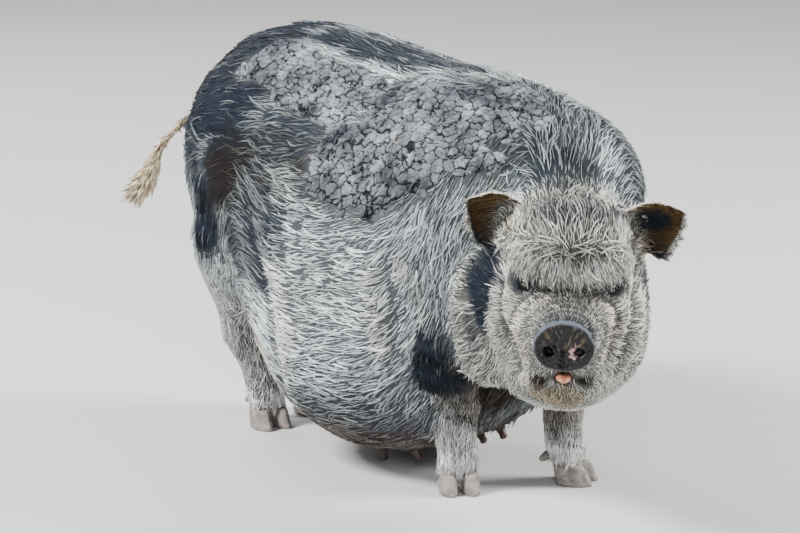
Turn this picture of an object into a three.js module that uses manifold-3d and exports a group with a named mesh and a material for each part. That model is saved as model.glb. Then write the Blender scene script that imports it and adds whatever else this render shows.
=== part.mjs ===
// A life-size model of a stout pot-bellied sow, standing on four short legs with her head turned to her right.
// Millimetres, +Z up. The sow faces -Y and her left side is +X. The floor is the plane of her soles.
import * as THREE from "three";
import { LoftGeometry } from "three/addons/geometries/LoftGeometry.js";
import { mergeVertices } from "three/addons/utils/BufferGeometryUtils.js";
import Module from "manifold-3d";

const wasm = await Module();
wasm.setup();

// ---- driving dimensions ----
const backHeight = 578; // floor to the highest point of the back
const bellyClearance = 30; // floor to the lowest point of the belly
const trunkHalfWidth = 208;
const axisHeight = 345; // the line inside the trunk that its rings are drawn from
const neckCut = -176; // where the neck parts from the trunk
const parting = 0.35; // the thin gap between neighbouring parts
const bodySides = 36; // corners round each ring of the trunk and neck
const headSides = 38;
const legSides = 18;
const headTurn = 45.5; // degrees, towards her right
const headRoll = 3.5; // degrees, her left ear lower
const headPlace = new THREE.Vector3(-54, -363, 331); // middle of the skull
const headCut = 96; // how far the head reaches behind the middle of the skull
const eyeRadius = 11;
const eyeSpacing = 103;
const snoutWidth = 75;
const snoutHeight = 62;
const snoutDepth = 22;
const snoutTilt = 4; // degrees, the disc looks down a little
const hoofHeight = 27;
const hoofLength = 52;
const hoofWidth = 27;
const shankRadius = 26;

const rad = THREE.MathUtils.degToRad;
const vec = (x, y, z) => new THREE.Vector3(x, y, z);

// ---- soft forms: each returns the distance of a point from a surface, negative inside ----
const ellipsoid = (centre, radii) => {
  const p = vec(0, 0, 0);
  return (point) => {
    p.subVectors(point, centre);
    const near = Math.hypot(p.x / radii.x, p.y / radii.y, p.z / radii.z);
    const slope = Math.hypot(p.x / radii.x ** 2, p.y / radii.y ** 2, p.z / radii.z ** 2);
    return slope < 1e-9 ? -Math.min(radii.x, radii.y, radii.z) : (near * (near - 1)) / slope;
  };
};

const limb = (from, to, fromRadius, toRadius) => {
  const along = to.clone().sub(from);
  const lengthSq = along.lengthSq();
  const p = vec(0, 0, 0);
  return (point) => {
    p.subVectors(point, from);
    const t = THREE.MathUtils.clamp(p.dot(along) / lengthSq, 0, 1);
    p.addScaledVector(along, -t);
    return p.length() - THREE.MathUtils.lerp(fromRadius, toRadius, t);
  };
};

const melt = (a, b, softness) => {
  const h = Math.max(softness - Math.abs(a - b), 0) / softness;
  return Math.min(a, b) - (h * h * softness) / 4;
};

const blend = (softness, ...forms) => (point) =>
  forms.map((form) => form(point)).reduce((a, b) => melt(a, b, softness));

// ---- skins: rings of points where rays from an axis leave a form ----
const leave = (form, from, direction, swell) => {
  const reach = 600;
  const p = vec(0, 0, 0);
  const at = (r) => form(p.copy(from).addScaledVector(direction, r)) - swell;
  let inside = 0;
  let outside = reach;
  for (let r = 2; r < reach; r += Math.max(Math.abs(at(r)) * 0.6, 1.5)) {
    if (at(r) > 0) {
      outside = r;
      break;
    }
    inside = r;
  }
  for (let i = 0; i < 24; i++) {
    const half = (inside + outside) / 2;
    if (at(half) > 0) outside = half;
    else inside = half;
  }
  return from.clone().addScaledVector(direction, outside);
};

// stations: { at, tilt }, where tilt leans the rays along the axis, in degrees
const skin = (form, stations, axis, sideways, around, swell = 0) => {
  const upwards = vec(0, 0, 0).crossVectors(sideways, axis);
  const rings = stations.map(({ at, tilt = 0 }) => {
    const ring = [];
    for (let i = 0; i < around; i++) {
      const angle = (i / around) * 2 * Math.PI;
      const direction = vec(0, 0, 0)
        .addScaledVector(sideways, Math.cos(angle) * Math.cos(rad(tilt)))
        .addScaledVector(upwards, -Math.sin(angle) * Math.cos(rad(tilt)))
        .addScaledVector(axis, Math.sin(rad(tilt)));
      ring.push(leave(form, at, direction, swell));
    }
    return ring;
  });
  return new LoftGeometry(rings, { capStart: true, capEnd: true });
};

// ---- solids for cutting and joining ----
const solidOf = (geometry, matrix = null) => {
  const bare = new THREE.BufferGeometry();
  bare.setAttribute("position", geometry.getAttribute("position").clone());
  bare.setIndex(geometry.index);
  if (matrix) bare.applyMatrix4(matrix);
  const merged = mergeVertices(bare, 1e-3);
  const corners = merged.index.array;
  const kept = [];
  for (let i = 0; i < corners.length; i += 3) {
    const [a, b, c] = [corners[i], corners[i + 1], corners[i + 2]];
    if (a !== b && b !== c && a !== c) kept.push(a, b, c);
  }
  return new wasm.Manifold(
    new wasm.Mesh({
      numProp: 3,
      vertProperties: merged.getAttribute("position").array,
      triVerts: new Uint32Array(kept),
    }),
  );
};

const largest = (solid) => solid.decompose().reduce((a, b) => (b.volume() > a.volume() ? b : a));

const geometryOf = (solid) => {
  const mesh = solid.getMesh();
  const points = new Float32Array(mesh.numVert * 3);
  for (let i = 0; i < mesh.numVert; i++) {
    points.set(mesh.vertProperties.subarray(i * mesh.numProp, i * mesh.numProp + 3), i * 3);
  }
  const geometry = new THREE.BufferGeometry();
  geometry.setAttribute("position", new THREE.BufferAttribute(points, 3));
  geometry.setIndex(new THREE.BufferAttribute(new Uint32Array(mesh.triVerts), 1));
  geometry.computeVertexNormals();
  return geometry;
};

// ---- finishes ----
const finish = (color, roughness) => new THREE.MeshStandardMaterial({ color, roughness, metalness: 0 });
const hide = finish(0x8a8782, 0.9);
const paleHide = finish(0xc9c3b6, 0.9);
const earHide = finish(0x7d6242, 0.85);
const snoutHide = finish(0x2b2a2d, 0.45);
const hoofHorn = finish(0xb9a592, 0.5);
const eyeGloss = finish(0x17100c, 0.1);
const tongueFlesh = finish(0xc0705a, 0.4);

const pig = new THREE.Group();
const add = (parent, name, geometry, material) => {
  const mesh = new THREE.Mesh(geometry, material);
  mesh.name = name;
  parent.add(mesh);
  return mesh;
};
const sides = [
  { name: "left", sign: 1 },
  { name: "right", sign: -1 },
];
const right = vec(1, 0, 0);
const forwards = vec(0, -1, 0);
const backwards = vec(0, 1, 0);
const upwards = vec(0, 0, 1);

// ---- trunk and neck, one form cut in two ----
const bellyMiddle = (backHeight + bellyClearance) / 2;
const bodyForm = blend(
  60,
  ellipsoid(vec(0, 170, 388), vec(174, 196, 188)), // rump and loin
  ellipsoid(vec(0, 30, bellyMiddle + 24), vec(trunkHalfWidth, 262, 232)), // barrel
  ellipsoid(vec(0, -20, 205), vec(trunkHalfWidth - 14, 212, 205 - bellyClearance)), // belly
  ...sides.map(({ sign }) => ellipsoid(vec(sign * 66, -34, 160), vec(120, 172, 126))), // its sagging sides
  ellipsoid(vec(0, -150, 366), vec(182, 165, 184)), // shoulders
  ellipsoid(vec(0, -170, 222), vec(84, 84, 94)), // breast
  ellipsoid(vec(25, -262, 391), vec(138, 110, 121)), // root of the neck
);
const line = (y, tilt = 0) => ({ at: vec(0, y, axisHeight), tilt });
const trunkStations = [
  ...[-82, -66, -50, -34, -17].map((tilt) => line(190, tilt)),
  ...[190, 155, 120, 85, 50, 15, -20, -55, -90, -122, -150, neckCut + parting].map((y) => line(y)),
];
const neckStations = [line(neckCut), ...[14, 28, 41, 53, 64, 74, 83].map((tilt) => line(neckCut, tilt))];
const bodySkin = (stations, swell) => skin(bodyForm, stations, forwards, right, bodySides, swell);
const bodyClear = solidOf(bodySkin([...trunkStations.slice(0, -1), ...neckStations], parting));

// rings round a path, each { at, radius }, facing along it
const rope = (rings, around) => {
  const curve = new THREE.CatmullRomCurve3(rings.map(({ at }) => at));
  const steps = rings.length - 1;
  const { normals, binormals } = curve.computeFrenetFrames(steps);
  return new LoftGeometry(
    rings.map(({ radius }, k) =>
      Array.from({ length: around }, (_, i) => {
        const angle = (i / around) * 2 * Math.PI;
        return curve
          .getPoint(k / steps)
          .addScaledVector(normals[k], radius * Math.cos(angle))
          .addScaledVector(binormals[k], radius * Math.sin(angle));
      }),
    ),
    { capStart: true, capEnd: true },
  );
};
const spike = (root, out, length, radii, around) =>
  rope(
    radii.map((radius, i) => {
      const along = (i / (radii.length - 1)) * length;
      return { at: root.clone().addScaledVector(out, along), radius };
    }),
    around,
  );

// two rows of teats under the belly
const teatPlaces = [165, 110, 45, -35, -95, -140];
const teatLength = 12;
const teatRadii = [7.5, 5.5, 3];
const bellyAxisHeight = 200;
let trunk = solidOf(bodySkin(trunkStations, 0));
for (const y of teatPlaces) {
  for (const { sign } of sides) {
    const out = vec(sign * 0.36, 0, -1).normalize();
    const root = leave(bodyForm, vec(0, y, bellyAxisHeight), out, -3);
    trunk = trunk.add(solidOf(spike(root, out, teatLength, teatRadii, 6)));
  }
}
add(pig, "trunk", geometryOf(trunk), hide);
add(pig, "neck", geometryOf(solidOf(bodySkin(neckStations, 0))), hide);

// ---- tail, hanging a little to her right, with the tuft at its end ----
const tail = rope(
  [
    { at: vec(6, 330, 424), radius: 15 },
    { at: vec(-14, 376, 424), radius: 12 },
    { at: vec(-36, 404, 404), radius: 9.5 },
    { at: vec(-48, 420, 382), radius: 8.5 },
    { at: vec(-54, 433, 364), radius: 8.5 },
    { at: vec(-58, 441, 342), radius: 10.5 },
    { at: vec(-61, 452, 322), radius: 12 },
    { at: vec(-64, 464, 306), radius: 9 },
    { at: vec(-66, 471, 298), radius: 4 },
  ],
  8,
);
add(pig, "tail", geometryOf(largest(solidOf(tail).subtract(bodyClear))), paleHide);

// ---- head, in its own frame: she looks along -Y, +X is her left ----
const head = new THREE.Group();
head.position.copy(headPlace);
head.rotation.set(0, rad(headRoll), -rad(headTurn), "ZYX");
pig.add(head);
head.updateMatrixWorld(true);
const intoHead = head.matrixWorld.clone().invert();
const bodyInHead = bodyClear.transform(intoHead.toArray());
const neckInHead = vec(10, -200, 380).applyMatrix4(intoHead);

const both = (make) => sides.map(({ sign }) => make(sign));
const muzzleEnd = vec(-3, -156, -66);
const headForm = blend(
  18,
  blend(
    28,
    ellipsoid(vec(0, 6, 12), vec(92, 96, 86)), // skull
    ellipsoid(vec(0, -50, 44), vec(74, 46, 50)), // forehead
    limb(vec(0, -50, -54), muzzleEnd.clone().add(vec(0, -20, 0)), 67, 34), // muzzle
    ellipsoid(vec(0, -84, -118), vec(60, 58, 42)), // chin
    ...both((sign) => ellipsoid(vec(sign * 62, -44, -62), vec(42, 52, 62))), // cheeks
  ),
  ellipsoid(vec(0, -86, 22), vec(76, 34, 32)), // brow fold
  ...both((sign) => ellipsoid(vec(sign * 65, 6, -72), vec(50, 62, 96))), // jowls
  ellipsoid(vec(-90, 26, -74), vec(58, 58, 108)), // the roll squeezed up on the side she turns to
  ellipsoid(vec(0, -24, -126), vec(86, 84, 62)), // throat
  limb(vec(0, 20, 10), neckInHead, 96, 100), // into the neck
);
const headMiddle = vec(0, -48, -48);
const headStations = [
  ...[-83, -75, -68, -61, -54, -47, -40, -33, -26, -18, -9].map((tilt) => ({ at: headMiddle, tilt })),
  ...[0, 22, 44, 68, 94, 120, headCut + 48].map((y) => ({ at: headMiddle.clone().add(vec(0, y, 0)) })),
];
const headSkin = (swell) => skin(headForm, headStations, backwards, right, headSides, swell);
let headSolid = solidOf(headSkin(0));
const headClear = solidOf(headSkin(parting));
const headInPig = headClear.transform(head.matrixWorld.toArray());

// the snout: a disc with a rolled rim and two nostrils, on the flat end of the muzzle
const snout = new THREE.Group();
snout.position.copy(muzzleEnd);
snout.rotation.x = rad(snoutTilt);
head.add(snout);
snout.updateMatrix();
const before = new THREE.BoxGeometry(200, 100, 200).translate(0, -50, 0);
headSolid = headSolid.subtract(solidOf(before, snout.matrix));
const discRing = ([t, width, height]) =>
  Array.from({ length: 20 }, (_, i) => {
    const angle = (-i / 20) * 2 * Math.PI;
    const y = -parting - t * (snoutDepth - parting);
    return vec((width * snoutWidth * Math.cos(angle)) / 2, y, (height * snoutHeight * Math.sin(angle)) / 2);
  });
const discProfile = [
  // how far forward, width and height, as shares of the snout's own
  [0, 0.9, 0.9],
  [0.25, 0.97, 0.98],
  [0.6, 1, 1],
  [0.85, 0.97, 0.97],
  [1, 0.88, 0.88],
];
const nostril = { outwards: 18, upwards: 1, radii: vec(6.5, 13, 7.5) };
const lens = (centre, radii, grow = 0) =>
  solidOf(
    new THREE.SphereGeometry(1, 12, 7),
    new THREE.Matrix4().compose(centre, new THREE.Quaternion(), radii.clone().addScalar(grow)),
  );
let disc = solidOf(new LoftGeometry(discProfile.map(discRing).reverse(), { capStart: true, capEnd: true }));
for (const { sign } of sides) {
  const centre = vec(sign * nostril.outwards, -snoutDepth, nostril.upwards);
  disc = disc.subtract(lens(centre, nostril.radii));
}
add(snout, "snout", geometryOf(disc), snoutHide);

// eyes in their sockets
for (const { name, sign } of sides) {
  const centre = vec((sign * eyeSpacing) / 2, -82, -9);
  const socket = new THREE.SphereGeometry(eyeRadius + parting, 12, 8);
  headSolid = headSolid.subtract(solidOf(socket, new THREE.Matrix4().setPosition(centre)));
  const eye = add(head, `eye_${name}`, new THREE.SphereGeometry(eyeRadius, 12, 8), eyeGloss);
  eye.position.copy(centre);
}

// mouth: a slit under the snout, lower at its corners, with the tip of the tongue in it
const lips = { radii: vec(24, 26, 3.5), droop: 24, outwards: 17, forwards: -132, height: -112 };
const tongue = { centre: vec(0, -136, -113), radii: vec(11, 26, 7) };
for (const { sign } of sides) {
  const half = lens(vec(0, 0, 0), lips.radii)
    .rotate([0, sign * lips.droop, 0])
    .translate([sign * lips.outwards, lips.forwards, lips.height]);
  headSolid = headSolid.subtract(half);
}
headSolid = headSolid.subtract(lens(tongue.centre, tongue.radii, parting));
add(head, "tongue", geometryOf(lens(tongue.centre, tongue.radii)), tongueFlesh);
add(head, "head", geometryOf(largest(headSolid.subtract(bodyInHead))), hide);

// ears: cupped, open to the front, the upper edge level and the lower one hanging
const earSections = [
  // outwards, top, bottom, how deep the cup is
  [54, 72, 44, 30],
  [74, 83, 46, 36],
  [86, 89, 40, 36],
  [94, 91, 25, 33],
  [106, 92, 14, 28],
  [119, 89, 18, 21],
  [130, 86, 38, 14],
  [138, 82, 62, 8],
];
const earShift = 4; // the ears sit a little to her left
const earRim = -24;
const earThickness = 6;
const earRing = (sign) => ([outwards, top, bottom, depth]) => {
  const height = (top + bottom) / 2;
  const half = (top - bottom) / 2;
  const wall = Math.min(earThickness, half * 0.6);
  const arc = (shrink) =>
    Array.from({ length: 8 }, (_, i) => {
      const angle = (i / 7 - 0.5) * Math.PI;
      return vec(
        sign * outwards + earShift,
        earRim + (depth - shrink) * Math.cos(angle),
        height + (half - shrink) * Math.sin(angle),
      );
    });
  const ring = [...arc(0), ...arc(wall).reverse()];
  return sign > 0 ? ring : ring.reverse();
};
for (const { name, sign } of sides) {
  const ear = solidOf(new LoftGeometry(earSections.map(earRing(sign)), { capStart: true, capEnd: true }));
  add(head, `ear_${name}`, geometryOf(largest(ear.subtract(headClear).subtract(bodyInHead))), earHide);
}

// ---- legs: each on its own sole, the upper part hidden in the body ----
const stances = [
  { name: "front_left", sign: 1, sole: vec(57, -261, 0), toeOut: 28 },
  { name: "front_right", sign: -1, sole: vec(-76, -189, 0), toeOut: 34 },
  { name: "hind_left", sign: 1, sole: vec(50, 239, 0), toeOut: 12 },
  { name: "hind_right", sign: -1, sole: vec(-40, 226, 0), toeOut: 12 },
];
const toeSpread = 14.5;
const clawLength = 14;
const clawRadii = [7, 6, 3];
const clawHeight = 37; // of its root in the leg
const legTop = 400; // where the line inside the leg ends, in the body
const hoofRing = (level, scale, shift) =>
  Array.from({ length: 12 }, (_, i) => {
    const angle = (i / 12) * 2 * Math.PI;
    const y = -Math.sin(angle);
    const point = 1 - 0.35 * Math.max(-y, 0) ** 2;
    return vec(
      (hoofWidth / 2) * scale * point * Math.cos(angle),
      (hoofLength / 2) * scale * y + shift,
      level,
    );
  }).reverse();
const hoof = new LoftGeometry(
  [hoofRing(0, 0.97, -13), hoofRing(3, 1, -13), hoofRing(hoofHeight - 4, 0.86, -7), hoofRing(hoofHeight, 0.78, -5)],
  { capStart: true, capEnd: true },
);
for (const { name, sign, sole, toeOut } of stances) {
  const foot = new THREE.Group();
  foot.position.copy(sole);
  foot.rotation.z = rad(sign * toeOut);
  pig.add(foot);
  foot.updateMatrixWorld(true);
  const inFoot = (x, y, z) => vec(x, y, z).applyMatrix4(foot.matrixWorld);
  const front = name.startsWith("front");
  const fetlock = inFoot(0, 8, 58);
  const cannon = inFoot(0, front ? 7 : 17, 92);
  const knee = front ? inFoot(0, 4, 128) : sole.clone().add(vec(sign * 10, 30, 132)); // or hock
  const upper = front ? vec(sign * 98, sole.y * 0.4 - 112, 205) : vec(sign * 74, 232, 212);
  const hip = vec(upper.x, front ? upper.y : upper.y - 40, legTop);
  const joined = front
    ? ellipsoid(vec(sign * 102, sole.y * 0.3 - 131, 188), vec(46, 54, 62)) // elbow and upper arm
    : ellipsoid(vec(sign * 88, 205, 284), vec(82, 88, 100)); // ham
  const legForm = blend(
    22,
    ...[-1, 1].map((toe) =>
      limb(inFoot(toe * (toeSpread - 1), -8, hoofHeight - 4), inFoot(toe * 8, 2, 56), 13, 16),
    ),
    limb(fetlock, cannon, shankRadius - 2, shankRadius - 1),
    limb(cannon, knee, shankRadius - (front ? 2 : -1), front ? 28 : 34),
    limb(knee, upper, front ? 28 : 32, front ? 44 : 56),
    joined,
  );
  const path = [inFoot(0, 0, 0), inFoot(0, 4, hoofHeight), fetlock, cannon, knee, upper, hip];
  const onPath = (z) => {
    const k = path.findIndex((p) => p.z > z);
    return path[k - 1].clone().lerp(path[k], (z - path[k - 1].z) / (path[k].z - path[k - 1].z));
  };
  const levels = [hoofHeight + parting, 34, 43, 54, 72, 92, 110, 128, 148, 172, 200, 230, 262, 296, 330, 362, 392];
  const leg = skin(legForm, levels.map((z) => ({ at: onPath(z) })), upwards, right, legSides);
  const free = solidOf(leg).subtract(bodyClear).subtract(headInPig);
  add(pig, `leg_${name}`, geometryOf(largest(free)), paleHide);
  for (const { toe, place } of [{ toe: sign, place: "outer" }, { toe: -sign, place: "inner" }]) {
    add(foot, `hoof_${name}_${place}`, hoof, hoofHorn).position.x = toe * toeSpread;
    const out = inFoot(toe * 0.42, 1, 0).sub(sole).normalize();
    const root = leave(legForm, onPath(clawHeight), out, parting);
    const down = out.clone().add(vec(0, 0, -0.7)).normalize();
    const claw = spike(root, down, clawLength, clawRadii, 6);
    add(pig, `dewclaw_${name}_${place}`, claw, hoofHorn);
  }
}

// the middle of her box in plan is the origin
pig.updateMatrixWorld(true);
const bounds = new THREE.Box3().setFromObject(pig, true);
const plan = bounds.getCenter(vec(0, 0, 0));
pig.position.set(-plan.x, -plan.y, -bounds.min.z);

export default pig;
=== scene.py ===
# A life-size museum model of a stout pot-bellied sow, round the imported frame: skin, bristles and dried mud.
# Metres, +Z up. The sow faces -Y and her left side is +X; her head is turned to her right.
import math
import bpy
import bmesh
import numpy as np
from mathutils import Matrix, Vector
from mathutils.bvhtree import BVHTree
from mathutils.kdtree import KDTree


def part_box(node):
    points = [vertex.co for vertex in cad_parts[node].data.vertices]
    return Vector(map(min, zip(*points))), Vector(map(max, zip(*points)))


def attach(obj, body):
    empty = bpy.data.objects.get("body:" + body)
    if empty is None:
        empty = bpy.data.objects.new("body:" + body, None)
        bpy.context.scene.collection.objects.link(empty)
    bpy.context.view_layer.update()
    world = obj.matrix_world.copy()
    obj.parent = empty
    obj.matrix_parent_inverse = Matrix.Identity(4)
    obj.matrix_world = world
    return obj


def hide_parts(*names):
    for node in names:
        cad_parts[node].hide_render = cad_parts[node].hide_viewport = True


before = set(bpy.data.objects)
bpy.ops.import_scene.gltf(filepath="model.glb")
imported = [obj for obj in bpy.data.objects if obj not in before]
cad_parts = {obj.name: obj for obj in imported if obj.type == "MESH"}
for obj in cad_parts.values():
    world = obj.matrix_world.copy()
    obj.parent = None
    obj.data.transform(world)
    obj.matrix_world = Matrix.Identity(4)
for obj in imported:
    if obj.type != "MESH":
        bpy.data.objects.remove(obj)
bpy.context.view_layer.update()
bpy.ops.object.select_all(action="DESELECT")
mm = 0.001


# small helpers for whole arrays of points
def ease(low, high, values):
    t = np.clip((values - low) / (high - low), 0, 1)
    return t * t * (3 - 2 * t)


def hump(values, middle, width):
    return np.exp(-(((values - middle) / width) ** 2))


def unit(vectors):
    return vectors / np.maximum(np.linalg.norm(vectors, axis=-1, keepdims=True), 1e-12)


def across(vectors, normals):
    return vectors - normals * np.sum(vectors * normals, axis=1)[:, None]


def triples(x, y, z):  # one place or direction for each point; a plain number stands for all
    return np.stack(np.broadcast_arrays(x, y, z), axis=1)


def cellDraw(cells, seed):  # the same number from 0 to 1 for the same whole-number cell
    mix = cells[..., 0] * 73856093 ^ cells[..., 1] * 19349663 ^ cells[..., 2] * 83492791 ^ seed * 40503
    mix = mix & 0xFFFFFFFF
    mix = ((mix ^ (mix >> 13)) * 1274126177) & 0xFFFFFFFF
    mix = ((mix ^ (mix >> 15)) * 668265263) & 0xFFFFFFFF
    return (mix ^ (mix >> 16)) / 4294967296.0


def softNoise(points, size, seed):  # smooth, from -1 to 1
    places = points / size
    base = np.floor(places).astype(np.int64)
    part = places - base
    part = part * part * (3 - 2 * part)
    total = np.zeros(len(points))
    for corner in np.ndindex(2, 2, 2):
        corner = np.array(corner)
        share = np.prod(np.where(corner == 1, part, 1 - part), axis=1)
        total += share * cellDraw(base + corner, seed)
    return total * 2 - 1


# reading and writing meshes
def pointsOf(mesh):
    values = np.empty(len(mesh.vertices) * 3, np.float32)
    mesh.vertices.foreach_get("co", values)
    return values.reshape(-1, 3).astype(float)


def setPoints(mesh, points):
    mesh.vertices.foreach_set("co", points.astype(np.float32).ravel())
    mesh.update()


def edgesOf(mesh):
    values = np.empty(len(mesh.edges) * 2, np.int32)
    mesh.edges.foreach_get("vertices", values)
    return values.reshape(-1, 2)


def trianglesOf(mesh):
    mesh.calc_loop_triangles()
    corners = np.empty(len(mesh.loop_triangles) * 3, np.int32)
    loops = np.empty(len(mesh.loop_triangles) * 3, np.int32)
    mesh.loop_triangles.foreach_get("vertices", corners)
    mesh.loop_triangles.foreach_get("loops", loops)
    return corners.reshape(-1, 3), loops.reshape(-1, 3)


def crossesOf(points, triangles):  # square to each triangle, and twice its area long
    a, b, c = (points[triangles[:, k]] for k in range(3))
    return np.cross(b - a, c - a)


def normalsOf(points, triangles):
    faceNormals = crossesOf(points, triangles)
    normals = np.zeros_like(points)
    for k in range(3):
        for axis in range(3):
            normals[:, axis] += np.bincount(triangles[:, k], faceNormals[:, axis], len(points))
    return unit(normals)


def relax(values, edges, rounds, pull):  # each value moves towards the mean of its neighbours
    count = np.maximum(np.bincount(edges.ravel(), minlength=len(values)), 1)
    for _ in range(rounds):
        mean = np.empty_like(values)
        for axis in range(values.shape[1]):
            mean[:, axis] = np.bincount(edges[:, 0], values[edges[:, 1], axis], len(values))
            mean[:, axis] += np.bincount(edges[:, 1], values[edges[:, 0], axis], len(values))
        values = values + pull[:, None] * (mean / count[:, None] - values)
    return values


def setAttribute(mesh, name, values):  # one number or four for each point
    if values.ndim == 1:
        layer = mesh.attributes.new(name, "FLOAT", "POINT")
        layer.data.foreach_set("value", values.astype(np.float32))
    else:
        layer = mesh.attributes.new(name, "FLOAT_COLOR", "POINT")
        layer.data.foreach_set("color", values.astype(np.float32).ravel())


def choose(piece):
    bpy.ops.object.select_all(action="DESELECT")
    piece.select_set(True)
    bpy.context.view_layer.objects.active = piece


def applyModifier(piece, kind, **settings):
    choose(piece)
    modifier = piece.modifiers.new(kind.lower(), kind)
    for name, value in settings.items():
        setattr(modifier, name, value)
    bpy.ops.object.modifier_apply(modifier=modifier.name)


def placeInMesh(piece):
    choose(piece)
    bpy.ops.object.transform_apply(location=True, rotation=True, scale=True)


def newPiece(name, mesh):
    piece = bpy.data.objects.new(name, mesh)
    bpy.context.collection.objects.link(piece)
    return piece


def paint(piece, material):
    piece.data.materials.clear()
    piece.data.materials.append(material)


def middleOf(node):
    low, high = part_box(node)
    return (Vector(low) + Vector(high)) / 2


def copyOf(nodes, name, swell=0.0):  # CAD nodes joined in one mesh, with their corners merged
    whole = bmesh.new()
    for node in nodes:
        whole.from_mesh(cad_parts[node].data)
    bmesh.ops.remove_doubles(whole, verts=whole.verts, dist=0.01 * mm)
    if swell:
        whole.normal_update()
        for vert in whole.verts:
            vert.co += vert.normal * swell
    mesh = bpy.data.meshes.new(name)
    whole.to_mesh(mesh)
    whole.free()
    return newPiece(name, mesh)


def joined(parts, name):
    bpy.ops.object.select_all(action="DESELECT")
    for part in parts:
        part.select_set(True)
    bpy.context.view_layer.objects.active = parts[0]
    if len(parts) > 1:
        bpy.ops.object.join()
    parts[0].name = name
    parts[0].data.name = name
    return parts[0]


# the head's own frame, from its eyes: x to her left, y back, z up
headCentre = {"behindEyes": 82 * mm, "aboveEyes": 9 * mm}
eyeMiddle = {"left": middleOf("eye_left"), "right": middleOf("eye_right")}
headX = (eyeMiddle["left"] - eyeMiddle["right"]).normalized()
headY = Vector((0, 0, 1)).cross(headX).normalized()
headZ = headX.cross(headY)
headOrigin = (eyeMiddle["left"] + eyeMiddle["right"]) / 2
headOrigin += headY * headCentre["behindEyes"] + headZ * headCentre["aboveEyes"]
headAxes = np.array([headX, headY, headZ])


def toHead(points):  # millimetres in the head's frame
    return (points - np.array(headOrigin)) @ headAxes.T / mm


def fromHead(places):
    return np.array(places, float) * mm @ headAxes + np.array(headOrigin)


eyePlace = {side: toHead(np.array(middle)) for side, middle in eyeMiddle.items()}
legNames = ["front_left", "front_right", "hind_left", "hind_right"]
fleshNodes = ["trunk", "neck", "head", "tail", "ear_left", "ear_right"] + [f"leg_{leg}" for leg in legNames]


# skin: one closed mesh inside the flesh nodes
skinShape = {
    "voxel": 4 * mm,
    "earSwell": 2.2 * mm,
    "smoothRounds": 16,
    "smoothing": 0.62,  # pull of each round, less what each part holds back
    "holds": {"head": 0.12, "leg": 0.1, "ear": 0.4, "tail": 0.42},
    "thinner": {"muzzle": 3.5 * mm, "feet": 2.5 * mm, "belly": 3 * mm},  # less depth of coat there
    "roughShare": 0.44,  # of the faces kept on the body
    "levels": 4,  # steps from the face, kept whole, to the body
    "faceEdge": 2.9 * mm,
    "detailEdge": 1.6 * mm,
}
coatDepth = {  # how far the skin lies inside the tips of the coat
    "trunk": 6 * mm,
    "neck": 7 * mm,
    "head": 5.5 * mm,
    "tail": 4.5 * mm,
    "ear": 2.7 * mm,
    "leg": 4.5 * mm,
}


def homesOf(points):  # which flesh node each point lies nearest to
    corners, faces, owners = [], [], []
    for index, node in enumerate(fleshNodes):
        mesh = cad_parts[node].data
        start = len(corners)
        corners.extend(vert.co.copy() for vert in mesh.vertices)
        for face in mesh.polygons:
            faces.append([start + corner for corner in face.vertices])
            owners.append(index)
    tree = BVHTree.FromPolygons(corners, faces)
    return np.array([owners[tree.find_nearest(point)[2]] for point in map(Vector, points)])


def shares(points, edges):  # how much each point belongs to each kind of part, softly at the borders
    homes = homesOf(points)
    kinds = {kind: np.zeros(len(points)) for kind in coatDepth}
    for index, node in enumerate(fleshNodes):
        kinds[node.split("_")[0]][homes == index] = 1
    table = np.stack(list(kinds.values()), axis=1)
    table = relax(table, edges, 10, np.full(len(points), 0.7))
    return dict(zip(kinds, table.T))


def makeSkin():
    ears = ["ear_left", "ear_right"]
    body = copyOf([node for node in fleshNodes if node not in ears], "body")
    skin = joined([body, copyOf(ears, "ears", skinShape["earSwell"])], "skin")
    applyModifier(skin, "REMESH", mode="VOXEL", voxel_size=skinShape["voxel"])
    mesh = skin.data
    points, edges = pointsOf(mesh), edgesOf(mesh)
    triangles, _ = trianglesOf(mesh)
    part = shares(points, edges)
    pull = np.full(len(points), skinShape["smoothing"])
    for kind, hold in skinShape["holds"].items():
        pull = pull - hold * part[kind]
    points = relax(points, edges, skinShape["smoothRounds"], pull)
    depth = sum(coatDepth[kind] * share for kind, share in part.items())
    local = toHead(points)
    thinner = skinShape["thinner"]
    depth = depth - thinner["muzzle"] * part["head"] * ease(-40, -95, local[:, 1])
    depth = depth - thinner["feet"] * part["leg"] * ease(0.14, 0.05, points[:, 2])
    depth = depth - thinner["belly"] * part["trunk"] * ease(0.16, 0.05, points[:, 2])
    for _ in range(3):
        points = points - normalsOf(points, triangles) * (depth / 3)[:, None]
        points = relax(points, edges, 1, np.full(len(points), 0.3) * (1 - part["ear"]) * (1 - part["tail"]))
    setPoints(mesh, points)
    group = skin.vertex_groups.new(name="body")
    faceShare = ease(20, -20, local[:, 1]) * part["head"]
    levels = skinShape["levels"]
    for level in range(levels + 1):
        chosen = np.where(np.round((1 - np.maximum(faceShare, part["ear"])) * levels) == level)[0]
        group.add(chosen.tolist(), level / levels, "REPLACE")
    applyModifier(skin, "DECIMATE", ratio=skinShape["roughShare"], vertex_group="body")
    skin.vertex_groups.clear()
    return skin


def refine(mesh, longest, inside):  # splits the long edges between chosen points
    chosen = inside(pointsOf(mesh))
    shape = bmesh.new()
    shape.from_mesh(mesh)
    shape.verts.ensure_lookup_table()
    edges = [
        edge for edge in shape.edges
        if chosen[edge.verts[0].index] and chosen[edge.verts[1].index] and edge.calc_length() > longest
    ]
    bmesh.ops.subdivide_edges(shape, edges=edges, cuts=1, smooth=0.0, use_grid_fill=True)
    bmesh.ops.triangulate(shape, faces=[face for face in shape.faces if len(face.verts) > 4])
    shape.to_mesh(mesh)
    shape.free()


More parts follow.
